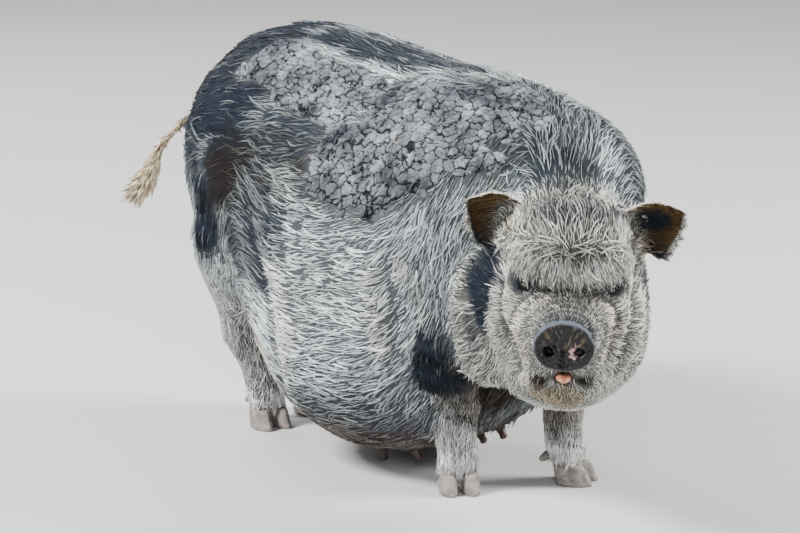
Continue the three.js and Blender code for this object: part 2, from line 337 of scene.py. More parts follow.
def pathGap(points, path):  # distance to a path of straight runs, and the way to it
    nearest = np.full(len(points), 1e9)
    gap = np.zeros_like(points)
    for start, end in zip(path[:-1], path[1:]):
        run = end - start
        t = np.clip((points - start) @ run / (run @ run), 0, 1)
        away = points - start - t[:, None] * run
        distance = np.linalg.norm(away, axis=1)
        closer = distance < nearest
        nearest = np.where(closer, distance, nearest)
        gap = np.where(closer[:, None], away, gap)
    return nearest, gap


# how far a crease and the lip beside it move the skin
def fold(points, path, depth, width, lip=0.0, lipSide=(0, 0, 0)):
    distance, gap = pathGap(points, np.array(path, float))
    push = -depth * hump(distance, 0, width)
    if lip:
        side = np.clip(unit(gap) @ np.array(lipSide, float), 0, 1)
        push += lip * side * hump(distance, 2.4 * width, 1.7 * width)
    return push


# millimetres in the head's frame
brow = {
    "edge": {"across": (-92, -58, -26, 4, 34, 62, 92), "height": (26, 13, 3, -3, 5, 18, 32)},
    "overhang": 7,
    "hang": 4,
    "recess": 4.5,
    "parting": 42,
    "partingDepth": 1.2,
}
faceFolds = [  # path, depth, width, lip, the side of the lip
    ([(-84, -62, -14), (-84, -76, -38), (-75, -93, -70), (-56, -108, -112)], 7, 8, 5, (0.8, -0.3, 0)),
    ([(72, -74, -14), (62, -98, -42), (57, -104, -66), (52, -106, -92)], 5, 7, 3.5, (-0.8, -0.3, 0)),
    ([(90, -44, 6), (84, -72, -24), (78, -90, -66), (66, -84, -110)], 6, 7.5, 4, (-0.6, -0.5, 0)),
    (
        [(-46, -118, -26), (-30, -124, -14), (0, -130, -12), (28, -124, -12), (44, -112, -20)],
        2.2, 4.5, 1.5, (0, -0.6, -0.6),
    ),
]
mouth = {
    "line": [
        (-34, -128, -133), (-26, -138, -124), (-15, -148, -110), (0, -152, -106),
        (14, -148, -109), (27, -138, -119), (35, -130, -127),
    ],
    "depth": 8,
    "width": 2.7,
    "lowerLip": 3.4,
    "upperLip": 1.8,
    "corner": [(36, -128, -132), (42, -112, -146), (40, -96, -160)],  # a short crease down from each end
    "cornerDepth": 2.6,
    "cornerWidth": 3.4,
}
mouthLine = np.array(mouth["line"], float)
muzzleRings = {"first": -157, "spacing": 8.5, "height": 1.7, "fade": 17}
snoutRings = {
    "middle": (0, -62),
    "flatten": 1.12,
    "ridge": 55,
    "waves": ((1, 0, 6), (-0.8, -10, 4), (-0.7, 10, 5)),  # share of the height, place from the ridge, width
    "height": 2.6,
    "lowest": -104,
}
lids = {
    "eyeball": 9.6,  # radius of the ball behind them
    "thickness": 1.7,
    "halfWidth": 0.82,
    "halfHeight": 0.1,
    "slant": 14,
    "outward": 0.36,
    "down": 0.1,
    "swell": 7.5,
    "swellWidth": 21,
    "reach": 34,
    "rim": {"height": 0.8, "place": 1.5, "width": 1.1, "within": 14},
    "creases": (  # depth, height over the eye's middle, width, half length, and the reach of it all
        (1.5, 5.6, 1.3, 13, 20),
        (1.3, -5.8, 1.2, 12, 20),
        (0.8, -10, 1.6, 13, 34),
    ),
}


def lookAxes(sign):  # the way an eye looks, the way its slit runs, and across the slit
    look = unit(np.array([sign * lids["outward"], -1, -lids["down"]]))
    slant = math.radians(lids["slant"])
    slit = unit(across(np.array([[sign * math.cos(slant), 0, math.sin(slant)]]), look[None])[0])
    return look, slit, np.cross(look, slit) * sign


def shapeEye(local, sign, side):
    look, slit, upward = lookAxes(sign)
    reach = local - eyePlace[side]
    forwards, sideways, height = reach @ look, reach @ slit, reach @ upward
    off = np.hypot(sideways, height)
    near = (off < lids["reach"]) & (forwards > -12)
    ball = lids["eyeball"]
    raised = forwards + lids["swell"] * np.exp(-((off / lids["swellWidth"]) ** 2))
    shell = np.sqrt(np.maximum((ball + lids["thickness"]) ** 2 - off**2, 0))
    level = 0.5 * (raised + shell + np.sqrt((raised - shell) ** 2 + 5))
    along = np.arcsin(np.clip(sideways / ball, -1, 1)) / lids["halfWidth"]
    gap = ball * lids["halfHeight"] * np.sqrt(np.clip(1 - along**2, 0, 1))
    edge = np.abs(height) - gap + 4 * np.clip(np.abs(along) - 1, 0, 1)
    inside = ease(0.9, -0.5, edge)
    inner = np.sqrt(np.maximum(ball**2 - off**2, 0)) - 3.5
    rim = lids["rim"]
    level = level + rim["height"] * hump(edge, rim["place"], rim["width"]) * (off < rim["within"])
    for depth, place, width, halfLength, within in lids["creases"]:
        level = level - depth * hump(height, place, width) * hump(sideways, 0, halfLength) * (off < within)
    level = np.where(off < ball, level * (1 - inside) + inner * inside, level)
    share = ease(lids["reach"], lids["reach"] - 10, off) * ease(-12, -4, forwards)
    return local + np.where(near, share * (level - forwards), 0)[:, None] * look


def shapeFace(points, triangles):
    local = toHead(points)
    normals = normalsOf(points, triangles) @ headAxes.T
    facing = ease(0.15, 0.55, -normals[:, 1]) * ease(-5, -30, local[:, 1])
    x, y, z = local.T
    above = z - np.interp(x, brow["edge"]["across"], brow["edge"]["height"])
    width = ease(104, 84, np.abs(x)) * facing
    uneven = 1 + 0.25 * softNoise(local, 22, 3)
    recess = brow["recess"] * (0.35 + 0.65 * ease(16, 40, np.abs(x)))
    forwards = brow["overhang"] * hump(above, 9, 10) * uneven - recess * hump(above, -4.5, 4.5)
    forwards = forwards - brow["partingDepth"] * hump(z, brow["parting"], 6)
    local[:, 1] -= width * forwards
    local[:, 2] -= width * brow["hang"] * hump(above, 5, 6)
    for sign, side in ((1, "left"), (-1, "right")):
        local = shapeEye(local, sign, side)
    push = np.zeros(len(local))
    for path, depth, foldWidth, lip, lipSide in faceFolds:
        push += fold(local, path, depth, foldWidth, lip, lipSide)
    x, y, z = local.T
    ring = (y - muzzleRings["first"]) / muzzleRings["spacing"]
    upper = ease(-88, -58, z) * ease(-118, -132, y)
    wave = np.cos(2 * np.pi * (ring + 0.1 * softNoise(local, 14, 5)))
    fade = np.exp(-np.maximum(y - muzzleRings["first"], 0) / muzzleRings["fade"])
    push += muzzleRings["height"] * upper * wave * fade
    middleX, middleZ = snoutRings["middle"]
    fromSnout = np.hypot(x - middleX, (z - middleZ) * snoutRings["flatten"]) + 2.5 * softNoise(local, 18, 6)
    lowest = snoutRings["lowest"]
    ringShare = ease(-60, -95, y) * ease(lowest, lowest + 22, z) * snoutRings["height"]
    for share, shift, width in snoutRings["waves"]:
        push += share * ringShare * hump(fromSnout, snoutRings["ridge"] + shift, width)
    distance, gap = pathGap(local, mouthLine)
    push -= mouth["depth"] * hump(distance, 0, mouth["width"])
    push += mouth["lowerLip"] * hump(distance, 6.5, 4) * ease(0, 3, -gap[:, 2]) * hump(x, 0, 32)
    push += mouth["upperLip"] * hump(distance, 5.5, 3.5) * ease(0, 3, gap[:, 2]) * ease(-92, -100, z)
    for sign in (1, -1):
        corner = np.array(mouth["corner"]) * (sign, 1, 1)
        push += fold(local, corner, mouth["cornerDepth"], mouth["cornerWidth"])
    push += 0.5 * softNoise(local, 9, 11) * ease(-60, -110, y)
    local += unit(normals) * push[:, None]
    return fromHead(local), push


bodyFolds = [  # as faceFolds, but with paths in metres, for her right side; the left side has them mirrored
    (
        [(-0.205, 0.098, 0.35), (-0.206, 0.07, 0.27), (-0.2, 0.05, 0.2), (-0.17, 0.06, 0.12)],
        6, 13, 4, (0, -1, 0),
    ),
    ([(-0.155, -0.165, 0.222), (-0.15, -0.2, 0.205), (-0.128, -0.232, 0.2)], 6, 6, 4, (0, 0, -1)),
    ([(-0.14, -0.15, 0.182), (-0.122, -0.205, 0.168), (-0.095, -0.232, 0.172)], 4.5, 5.5, 3, (0, 0, -1)),
    ([(-0.17, -0.145, 0.31), (-0.168, -0.152, 0.26), (-0.16, -0.15, 0.2)], 4, 9, 3, (0, 1, 0)),
    ([(-0.165, -0.185, 0.33), (-0.16, -0.2, 0.28), (-0.155, -0.2, 0.235)], 4, 8, 3, (0, 1, 0)),
]
flankRipples = {"spacing": 31 * mm, "height": 1.1, "lean": 0.12, "wander": 0.035}


def shapeBody(points, triangles):
    normals = normalsOf(points, triangles)
    push = np.zeros(len(points))
    for sign in (1, -1):
        mirrored = points * np.array([sign, 1, 1]) / mm
        for path, depth, foldWidth, lip, lipSide in bodyFolds:
            push += fold(mirrored, np.array(path) / mm, depth, foldWidth, lip, lipSide)
    side = ease(0.4, 0.8, np.abs(normals[:, 0]))
    y, z = points[:, 1], points[:, 2]
    zone = side * hump(y, -0.03, 0.11) * hump(z, 0.3, 0.1)
    phase = y + flankRipples["lean"] * z + flankRipples["wander"] * softNoise(points, 0.07, 21)
    push += flankRipples["height"] * zone * np.sin(2 * np.pi * phase / flankRipples["spacing"])
    push += 1.1 * softNoise(points, 0.045, 22) * (z > 0.12) + 0.5 * softNoise(points, 0.018, 23)
    return points + normals * (push * mm)[:, None], push


def facePlaces(points):
    local = toHead(points)
    return (local[:, 1] < -18) & (local[:, 2] > -165)


def finePlaces(points):  # round the mouth, the eyes and the snout
    local = toHead(points)
    chosen = pathGap(local, mouthLine)[0] < 12
    for middle in eyePlace.values():
        chosen |= np.linalg.norm(local - middle, axis=1) < 24
    chosen |= (local[:, 1] < -120) & (local[:, 2] > -80)
    return chosen


skin = makeSkin()
refine(skin.data, skinShape["faceEdge"], facePlaces)
refine(skin.data, skinShape["detailEdge"], finePlaces)
skinPoints = pointsOf(skin.data)
skinTriangles, skinLoops = trianglesOf(skin.data)
skinPoints, bodyRelief = shapeBody(skinPoints, skinTriangles)
skinPoints, faceRelief = shapeFace(skinPoints, skinTriangles)
skinRelief = bodyRelief + faceRelief  # in mm, folds below 0 and lips above
setPoints(skin.data, skinPoints)
skin.data.shade_smooth()
print("skin", len(skinPoints), "points", len(skinTriangles), "triangles")


# markings: the same for the skin and the coat
patches = {  # middle and radii in metres, and strength
    "dark": [
        ((-0.03, 0.24, 0.5), (0.21, 0.17, 0.15), 1.0),
        ((-0.02, 0.35, 0.4), (0.13, 0.07, 0.13), 1.0),
        ((-0.185, 0.17, 0.4), (0.06, 0.06, 0.07), 0.95),
        ((-0.172, 0.215, 0.325), (0.05, 0.05, 0.065), 1.0),
        ((0.165, 0.25, 0.35), (0.05, 0.055, 0.05), 0.9),
        ((0.17, 0.205, 0.29), (0.05, 0.035, 0.06), 0.8),
        ((0.175, 0.165, 0.42), (0.06, 0.075, 0.05), 0.85),
        ((0.18, 0.12, 0.36), (0.05, 0.04, 0.06), 0.6),
        ((-0.16, 0.05, 0.45), (0.09, 0.12, 0.05), 0.75),
        ((-0.2, 0.1, 0.33), (0.06, 0.08, 0.11), 0.72),
        ((0.0, -0.02, 0.575), (0.075, 0.2, 0.06), 0.85),
        ((-0.02, -0.23, 0.5), (0.1, 0.14, 0.085), 0.62),
        ((0.09, -0.28, 0.43), (0.07, 0.1, 0.09), 0.7),
        ((-0.128, -0.21, 0.176), (0.064, 0.055, 0.062), 1.0),
        ((0.125, -0.225, 0.182), (0.06, 0.05, 0.05), 1.0),
    ],
    "brown": [
        ((-0.185, 0.16, 0.395), (0.05, 0.06, 0.055), 0.9),
        ((-0.19, 0.02, 0.41), (0.06, 0.12, 0.05), 0.6),
        ((0.18, 0.08, 0.41), (0.06, 0.12, 0.05), 0.6),
        ((0.0, -0.05, 0.03), (0.16, 0.17, 0.045), 0.7),
        ((-0.02, -0.21, 0.13), (0.11, 0.08, 0.07), 1.0),
    ],
    "mud": [
        ((-0.115, 0.13, 0.53), (0.06, 0.075, 0.045), 1.0),
        ((-0.13, 0.03, 0.515), (0.08, 0.1, 0.045), 1.0),
        ((-0.165, -0.085, 0.445), (0.08, 0.085, 0.09), 1.0),
        ((-0.12, -0.145, 0.485), (0.1, 0.11, 0.08), 1.0),
        ((-0.05, -0.215, 0.51), (0.08, 0.075, 0.05), 0.9),
        ((0.11, 0.03, 0.52), (0.085, 0.15, 0.075), 1.0),
        ((0.15, -0.12, 0.45), (0.07, 0.09, 0.06), 1.0),
    ],
    "tan": [((-0.045, -0.2, 0.125), (0.06, 0.055, 0.045), 0.85)],
    "noMud": [((0.0, -0.05, 0.585), (0.085, 0.15, 0.06), 1.0)],
    "flush": [((side, 0.15, 0.14), (0.08, 0.1, 0.09), 0.9) for side in (-0.115, 0.115)],
}
headPatches = {  # millimetres in the head's frame
    "dark": [
        ((0, -150, -48), (44, 24, 26), 0.3),
        # painted shadow in both eye pockets under the brow
        ((-55, -90, -6), (24, 26, 17), 0.8),
        ((56, -88, -4), (24, 28, 17), 0.75),
        ((60, -45, 77), (13, 24, 20), 0.9),
        ((-110, -32, -22), (28, 48, 60), 1.0),
        ((-112, -30, -72), (20, 34, 44), 1.0),
        ((108, -10, -10), (20, 30, 44), 0.9),
        ((-10, 20, 116), (64, 46, 34), 0.7),
        ((0, -58, 80), (66, 44, 36), 0.6),
        # painted shade in the cup of her left ear
        ((104, -6, 64), (22, 20, 17), 1.0),
        ((7, -138, -141), (3, 9, 2.6), 0.9),
    ],
    "brown": [
        ((72, -68, 4), (24, 30, 9), 0.55),
        ((0, -110, 40), (66, 24, 9), 0.5),
        ((0, -120, -16), (58, 30, 18), 0.5),
        ((0, -118, -148), (44, 38, 22), 0.4),
        ((-29, -134, -120), (13, 15, 8.5), 1.0),
        ((29, -134, -117), (13, 15, 8.5), 1.0),
    ],
    "warm": [
        ((0, -118, -146), (48, 42, 27), 1.0),
        ((0, -114, -12), (64, 22, 14), 0.45),
        # painted warm shade over her left cheek
        ((62, -80, -80), (50, 46, 66), 0.4),
        ((-100, -22, 60), (34, 22, 26), 0.8),
        ((96, -20, 50), (26, 22, 30), 0.7),
    ],
}
patchEdges = {  # seed, how ragged the edge is, the size of its lobes, and how wide it fades
    "dark": (41, 0.24, 0.035, 0.36),
    "brown": (47, 0.4, 0.025, 0.4),
    "mud": (51, 0.3, 0.05, 0.16),
    "noMud": (52, 0.2, 0.03, 0.16),
    "flush": (53, 0.2, 0.03, 0.16),
    "tan": (55, 0.25, 0.025, 0.3),
}
headPatchEdges = {"dark": (43, 0.22, 9, 0.4), "warm": (45, 0.3, 16, 0.5), "brown": (48, 0.3, 10, 0.5)}
jowls = {  # bright lines of hair along their edges, partly pale hair and partly painted rim light; millimetres in the head's frame
    "width": 7,
    "edges": [
        [(-139, 17, -11), (-129, -14, -54), (-115, -30, -88), (-94, -42, -120), (-70, -68, -141)],
        [(103, -24, -23), (101, -65, -65), (80, -62, -125), (50, -81, -155)],
        [(-87, -69, -24), (-76, -90, -66), (-53, -108, -115)],
        [(66, -88, -23), (62, -98, -50), (54, -105, -84)],
    ],
}


# up to 1 inside the patches, with a ragged edge
def patchShare(points, places, seed, ragged, size, border):
    uneven = ragged * softNoise(points, size, seed)
    uneven = uneven + 0.6 * ragged * softNoise(points, size * 0.35, seed + 1)
    share = np.zeros(len(points))
    for centre, radii, strength in places:
        reach = np.linalg.norm((points - np.array(centre)) / np.array(radii), axis=1)
        share = np.maximum(share, strength * ease(-0.6 * border, border, 1 - reach + uneven))
    return share


def patched(points, kind):
    return patchShare(points, patches[kind], *patchEdges[kind])


def headPatched(local, kind):
    return patchShare(local, headPatches[kind], *headPatchEdges[kind])


def muddiness(points):
    return patched(points, "mud") * (1 - patched(points, "noMud"))


def markingsOf(points, part):  # the shares of each colour, for the hide group
    local = toHead(points)
    x, y, z = points.T
    uneven = softNoise(points, 0.04, 31)
    head = np.clip(part["head"] + part["ear"], 0, 1)
    # painted shade in the skin's hollows and painted highlight on its ridges, from the relief of folds and
    # lips
    hollowShade = ease(-2.5, -6, skinRelief) * (1 - part["ear"])
    ridge = ease(0.9, 2.8, skinRelief) * (1 - part["ear"])
    # painted rim light along the jowl edges, over hair that is partly pale there
    edge = np.zeros(len(points))
    for path in jowls["edges"]:
        edge = np.maximum(edge, hump(pathGap(local, np.array(path, float))[0], 0, jowls["width"]))
    dark = np.minimum(1.12 * patched(points, "dark"), 1) * (1 - head)
    dark = np.maximum(dark, (head + part["neck"]) * headPatched(local, "dark"))
    # painted shade along the underside of the trunk
    dark = np.maximum(dark, 0.6 * part["trunk"] * hump(z, 0.09, 0.05))
    # painted shade in the hollows, kept off the jowl edges
    dark = np.maximum(dark, 0.5 * hollowShade) * (1 - edge)
    legPale = part["leg"] * ease(0.24, 0.15, z + 0.02 * uneven) + part["leg"] * 0.45 * ease(0.36, 0.24, z)
    pale = np.clip(legPale + 0.35 * part["trunk"] * hump(z, 0.27, 0.08) * ease(0.1, 0.2, np.abs(x)), 0, 1)
    # painted highlight on the ridges, and on the jowl edges
    pale = np.maximum(pale, np.maximum(0.85 * ridge * (1 - dark), edge))
    warm = head * headPatched(local, "warm")
    warm = np.maximum(warm, 0.7 * part["leg"] * hump(z, 0.13, 0.035) * ease(-0.2, -0.23, y))
    warm = np.maximum(np.maximum(warm, part["tail"]), 0.35 * head)
    brown = np.maximum(patched(points, "brown") * (1 - head), head * headPatched(local, "brown"))
    mud = muddiness(points) * (1 - head)
    flush = part["trunk"] * ease(0.11, 0.055, z + 0.01 * uneven)
    flush = np.maximum(flush, part["trunk"] * patched(points, "flush"))
    earFront = part["ear"] * ease(-0.1, 0.35, -(skinNormals @ headAxes.T)[:, 1])
    tan = np.maximum(earFront, patched(points, "tan") * (1 - head - part["leg"]).clip(0, 1))
    return {
        "marks": np.stack([dark, pale, warm, brown], axis=1),
        "dirt": np.stack([mud, flush, tan, head], axis=1),
    }


skinEdges = edgesOf(skin.data)
skinNormals = normalsOf(skinPoints, skinTriangles)
skinPart = shares(skinPoints, skinEdges)
skinMarks = markingsOf(skinPoints, skinPart)
for name, values in skinMarks.items():
    setAttribute(skin.data, name, values)
choose(skin)
bpy.ops.object.mode_set(mode="EDIT")
bpy.ops.mesh.select_all(action="SELECT")
bpy.ops.uv.smart_project(angle_limit=math.radians(66), island_margin=0.002)
bpy.ops.object.mode_set(mode="OBJECT")
skinUnwrap = np.empty(len(skin.data.loops) * 2, np.float32)
skin.data.uv_layers.active.data.foreach_get("uv", skinUnwrap)
skinUnwrap = skinUnwrap.reshape(-1, 2)
skin.data.uv_layers.remove(skin.data.uv_layers.active)
print("skin marked and unwrapped")


# materials
def newNode(tree, kind, place, **sockets):
    node = tree.nodes.new(kind)
    node.location = place
    for name, value in sockets.items():
        node.inputs[name].default_value = value
    return node


def newMaterial(name, **values):
    material = bpy.data.materials.new(name)
    material.use_nodes = True
    shader = material.node_tree.nodes["Principled BSDF"]
    for socket, value in values.items():
        shader.inputs[socket.replace("_", " ")].default_value = value
    return material, material.node_tree, shader


def attributeNode(tree, place, name):
    node = newNode(tree, "ShaderNodeAttribute", place)
    node.attribute_name = name
    return node


def splitColour(tree, place, colour):  # its red, green and blue
    node = newNode(tree, "ShaderNodeSeparateColor", place)
    tree.links.new(colour, node.inputs[0])
    return node.outputs


def overPiece(tree, place):  # the piece's own coordinates
    return newNode(tree, "ShaderNodeTexCoord", place).outputs["Object"]


def texture(tree, kind, place, over, **sockets):
    node = newNode(tree, f"ShaderNodeTex{kind}", place, **sockets)
    tree.links.new(over, node.inputs["Vector"])
    return node


def crackTexture(tree, place, over, **sockets):  # 0 along the borders of its cells
    node = texture(tree, "Voronoi", place, over, **sockets)
    node.feature = "DISTANCE_TO_EDGE"
    return node.outputs[0]


def mixColours(tree, place, factor, first, second, blend="MIX"):
    mix = newNode(tree, "ShaderNodeMix", place)
    mix.data_type = "RGBA"
    mix.blend_type = blend
    for socket, value in ((mix.inputs[0], factor), (mix.inputs[6], first), (mix.inputs[7], second)):
        if isinstance(value, bpy.types.NodeSocket):
            tree.links.new(value, socket)
        else:
            socket.default_value = value if isinstance(value, float) else (*value, 1)
    return mix.outputs[2]


def tinted(tree, place, colour, tint, factor=1.0):
    return mixColours(tree, place, factor, colour, tint, "MULTIPLY")


def rescale(tree, place, value, low, high, toLow=0.0, toHigh=1.0):
    sockets = {"From Min": low, "From Max": high, "To Min": toLow, "To Max": toHigh}
    node = newNode(tree, "ShaderNodeMapRange", place, **sockets)
    tree.links.new(value, node.inputs["Value"])
    return node.outputs[0]


def addBumps(tree, shader, layers):  # place, height, strength and distance, each layer over the one before
    normal = None
    for place, height, strength, distance in layers:
        bump = newNode(tree, "ShaderNodeBump", place, Strength=strength, Distance=distance)
        tree.links.new(height, bump.inputs["Height"])
        if normal:
            tree.links.new(normal, bump.inputs["Normal"])
        normal = bump.outputs[0]
    tree.links.new(normal, shader.inputs["Normal"])


hideColours = ["Plain", "Dark", "Pale", "Warm", "Brown", "Mud", "Flush", "Ear"]


def makeHideGroup():  # lays the markings over a plain colour
    group = bpy.data.node_groups.new("hideMarkings", "ShaderNodeTree")
    for name in hideColours:
        group.interface.new_socket(name, in_out="INPUT", socket_type="NodeSocketColor")
    group.interface.new_socket("Colour", in_out="OUTPUT", socket_type="NodeSocketColor")
    given = newNode(group, "NodeGroupInput", (-900, 0))
    result = newNode(group, "NodeGroupOutput", (1200, 0))
    marks = attributeNode(group, (-900, -300), "marks")
    dirt = attributeNode(group, (-900, -600), "dirt")
    dark, pale, warm = splitColour(group, (-700, -300), marks.outputs["Color"])
    mud, flush, ear = splitColour(group, (-700, -600), dirt.outputs["Color"])
    layers = {
        "Flush": flush, "Pale": pale, "Warm": warm, "Ear": ear,
        "Dark": dark, "Brown": marks.outputs["Alpha"], "Mud": mud,
    }
    colour = given.outputs["Plain"]
    for step, (name, share) in enumerate(layers.items()):
        colour = mixColours(group, (-400 + 200 * step, 0), share, colour, given.outputs[name])
    group.links.new(colour, result.inputs["Colour"])
    return group


hideGroup = makeHideGroup()


def hideColour(tree, place, colours):
    node = newNode(tree, "ShaderNodeGroup", place)
    node.node_tree = hideGroup
    for name in hideColours:
        node.inputs[name].default_value = (*colours[name], 1)
    return node.outputs["Colour"]


skinColours = {
    "Plain": (0.062, 0.07, 0.076),
    "Dark": (0.007, 0.0105, 0.018),
    "Pale": (0.07, 0.074, 0.076),
    "Warm": (0.09, 0.075, 0.056),
    "Brown": (0.009, 0.007, 0.006),
    "Mud": (0.05, 0.053, 0.06),
    "Flush": (0.06, 0.04, 0.037),
    "Ear": (0.022, 0.013, 0.007),
}


def makeSkinMaterial():
    material, tree, shader = newMaterial("skinHide", Roughness=0.62, Specular_IOR_Level=0.05)
    over = overPiece(tree, (-1500, 0))
    blotch = texture(tree, "Noise", (-1200, -100), over, Scale=28, Detail=5, Roughness=0.6).outputs[0]
    pores = texture(tree, "Noise", (-1200, -350), over, Scale=900, Detail=3, Roughness=0.7).outputs[0]
    creases = crackTexture(tree, (-1200, -600), over, Scale=260, Randomness=1)
    shade = rescale(tree, (-900, -100), blotch, 0.3, 0.7, 0.72, 1.25)
    speck = rescale(tree, (-900, -350), pores, 0.35, 0.7, 0.75, 1.2)
    colour = hideColour(tree, (-900, 200), skinColours)
    colour = tinted(tree, (-500, 200), colour, shade)
    colour = tinted(tree, (-300, 200), colour, speck)
    tree.links.new(colour, shader.inputs["Base Color"])
    gloss = rescale(tree, (-600, -100), blotch, 0.3, 0.7, 0.72, 0.52)
    tree.links.new(gloss, shader.inputs["Roughness"])
    crease = rescale(tree, (-900, -600), creases, 0.0, 0.18)
    addBumps(tree, shader, [((-500, -500), pores, 0.4, 0.0004), ((-300, -500), crease, 0.5, 0.0006)])
    return material


paint(skin, makeSkinMaterial())
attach(skin, "root")
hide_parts(*fleshNodes)
print("skin finished")

# coat
coatColours = {
    "Plain": (0.72, 0.83, 0.885),
    "Dark": (0.026, 0.032, 0.044),
    "Pale": (0.92, 0.93, 0.93),
    "Warm": (0.78, 0.67, 0.48),
    "Brown": (0.064, 0.055, 0.046),
    "Mud": (0.2, 0.19, 0.18),
    "Flush": (0.5, 0.44, 0.4),
    "Ear": (0.14, 0.09, 0.04),
}
bodyCoat = {"clump": 10, "length": 16, "width": 0.2, "spread": 0.1, "stand": 5}
legCoat = {"clump": 5, "length": 9, "width": 0.17, "spread": 0.08, "stand": 5}
# where each lies, from low to high in x and y; bristles in all and in one lock;
# length, width and spread in mm; how far they stand out in degrees
coatRegions = {
    "coat_rump": {"part": "trunk", "low": (-9, 0.125), "count": 45000, **bodyCoat},
    "coat_flank_right": {"part": "trunk", "high": (0, 0.125), "count": 49500, **bodyCoat},
    "coat_flank_left": {"part": "trunk", "low": (0, -9), "high": (9, 0.125), "count": 46500, **bodyCoat},
    "coat_neck": {"part": "neck", "count": 46500, **bodyCoat, "length": 17},
    "coat_head": {
        "part": "head", "count": 47400,
        "clump": 9, "length": 14, "width": 0.18, "spread": 0.08, "stand": 7,
    },
    "coat_face": {
        "part": "face", "count": 49500,
        "clump": 7, "length": 8.5, "width": 0.16, "spread": 0.07, "stand": 5,
    },
    "coat_legs_front": {"part": "leg", "high": (9, 0), "count": 28500, **legCoat},
    "coat_legs_hind": {"part": "leg", "low": (-9, 0), "count": 33600, **legCoat, "length": 9.5},
    "coat_ears": {
        "part": "ear", "count": 18000,
        "clump": 3, "length": 5.5, "width": 0.22, "spread": 0.2, "stand": 12,
    },
    "coat_tail": {
        "part": "tail", "count": 7500,
        "clump": 3, "length": 26, "width": 0.4, "spread": 0.8, "stand": 16,
    },
}
headLie = {  # mm from the middle at which the hair leans fully outwards, and how far it runs back and up
    "nape": (140, 0.9, 0.5),
    "crown": (110, 0.7, 0.9),
    "fringe": (95, -0.25, -1.0),
    "bridge": (60, 0.8, 0.3),
}
locks = {
    "bright": 0.65,  # share of the locks; the rest lie low and dull between them, dark partly as painted shade in the gaps
    "room": (1.9, 0.3),  # along and across each bright lock, in mean spacings
    "brightTone": (0.65, 1.0),
    "dullTone": (0.08, 0.35),
    "dullStand": 0.3,
    "stagger": 0.5,  # of its length, how far the outer bristles of a lock lie before and behind its middle
    "bend": 0.22,
    "kink": 0.42,  # of its length, where a bristle bends down
    "closing": (0.2, 0.5),  # of the spread, drawn in by the kink and by the tip
    "sunk": 1.8 * mm,
    "overFloor": 1.5 * mm,
}
tailPoints = pointsOf(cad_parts["tail"].data)
tailEnd = tailPoints[tailPoints[:, 2].argmin()]
tailRoot = tailPoints[tailPoints[:, 2].argmax()]


def lieOf(points, normals, part):  # the way the bristles run over the skin
    local = toHead(points)
    lx, ly, lz = local.T
    y, z = points[:, 1], points[:, 2]
    ways = {name: triples(lx / wide, back, up) for name, (wide, back, up) in headLie.items()}
    thigh = ease(0.1, 0.16, y) * ease(0.44, 0.34, z)
    risen = 0.6 * ease(-0.01, 0.08, y) * ease(0.44, 0.36, z) * (1 - thigh)
    body = np.zeros_like(points)
    body[:, 1] = 1.0 - 0.6 * ease(-0.1, -0.22, y) - 0.5 * thigh
    body[:, 2] = -0.12 + risen - 0.9 * ease(-0.07, -0.21, y) - thigh
    nape = (ease(170, 60, ly) * ease(10, 60, lz) * ease(90, 50, np.abs(lx - 15)))[:, None]
    body = body * (1 - nape) + (ways["nape"] @ headAxes) * nape
    limb = np.zeros_like(points)
    limb[:, 1:] = (0.25, -1)
    spread = unit(local - np.array([0, -150, -62]))  # outwards from the snout
    spread[:, 1] = np.abs(spread[:, 1]) * 0.6 + 0.25
    spread[:, 2] -= 0.3 * ease(-20, -80, lz)
    crown = ease(40, 52, lz) * ease(20, -10, ly - 0.3 * lz)
    fringe = ease(-12, -2, lz - np.interp(lx, brow["edge"]["across"], brow["edge"]["height"]))
    fringe = fringe * (1 - ease(38, 50, lz)) * ease(-20, -45, ly)
    bridge = ease(-60, -40, lz) * (1 - fringe) * ease(46, 30, np.abs(lx)) * ease(-60, -85, ly) * (1 - crown)
    head = spread * (1 - crown - fringe - bridge).clip(0, 1)[:, None]
    parts = {"crown": crown, "fringe": fringe, "bridge": bridge}
    head += sum(ways[name] * share[:, None] for name, share in parts.items())
    head = head @ headAxes
    ear = triples(np.sign(lx), -0.2, -0.3) @ headAxes
    tail = unit(tailEnd + 0.3 * (tailEnd - tailRoot) - points)
    total = body * (part["trunk"] + part["neck"])[:, None] + limb * part["leg"][:, None]
    total += head * part["head"][:, None] + ear * part["ear"][:, None] + tail * part["tail"][:, None]
    return unit(across(unit(total), normals))


def partingShare(points):  # the line over the brow where the hair turns from up to down
    x, y, z = toHead(points).T
    return hump(z, brow["parting"], 8) * ease(-45, -75, y) * ease(88, 66, np.abs(x))


def leant(vectors, others, angles):  # turned by each angle towards the other direction
    return vectors * np.cos(angles)[:, None] + others * np.sin(angles)[:, None]


def turned(vectors, normals, angles):
    return leant(vectors, np.cross(normals, vectors), angles)


skinLocal = toHead(skinPoints)
skinPart["face"] = skinPart["head"] * ease(-52, -66, skinLocal[:, 1]) * ease(34, 22, skinLocal[:, 2])
skinPart["head"] = skinPart["head"] - skinPart["face"]
triangleAreas = np.linalg.norm(crossesOf(skinPoints, skinTriangles), axis=1) / 2
skinLie = lieOf(skinPoints, skinNormals, {**skinPart, "head": skinPart["head"] + skinPart["face"]})


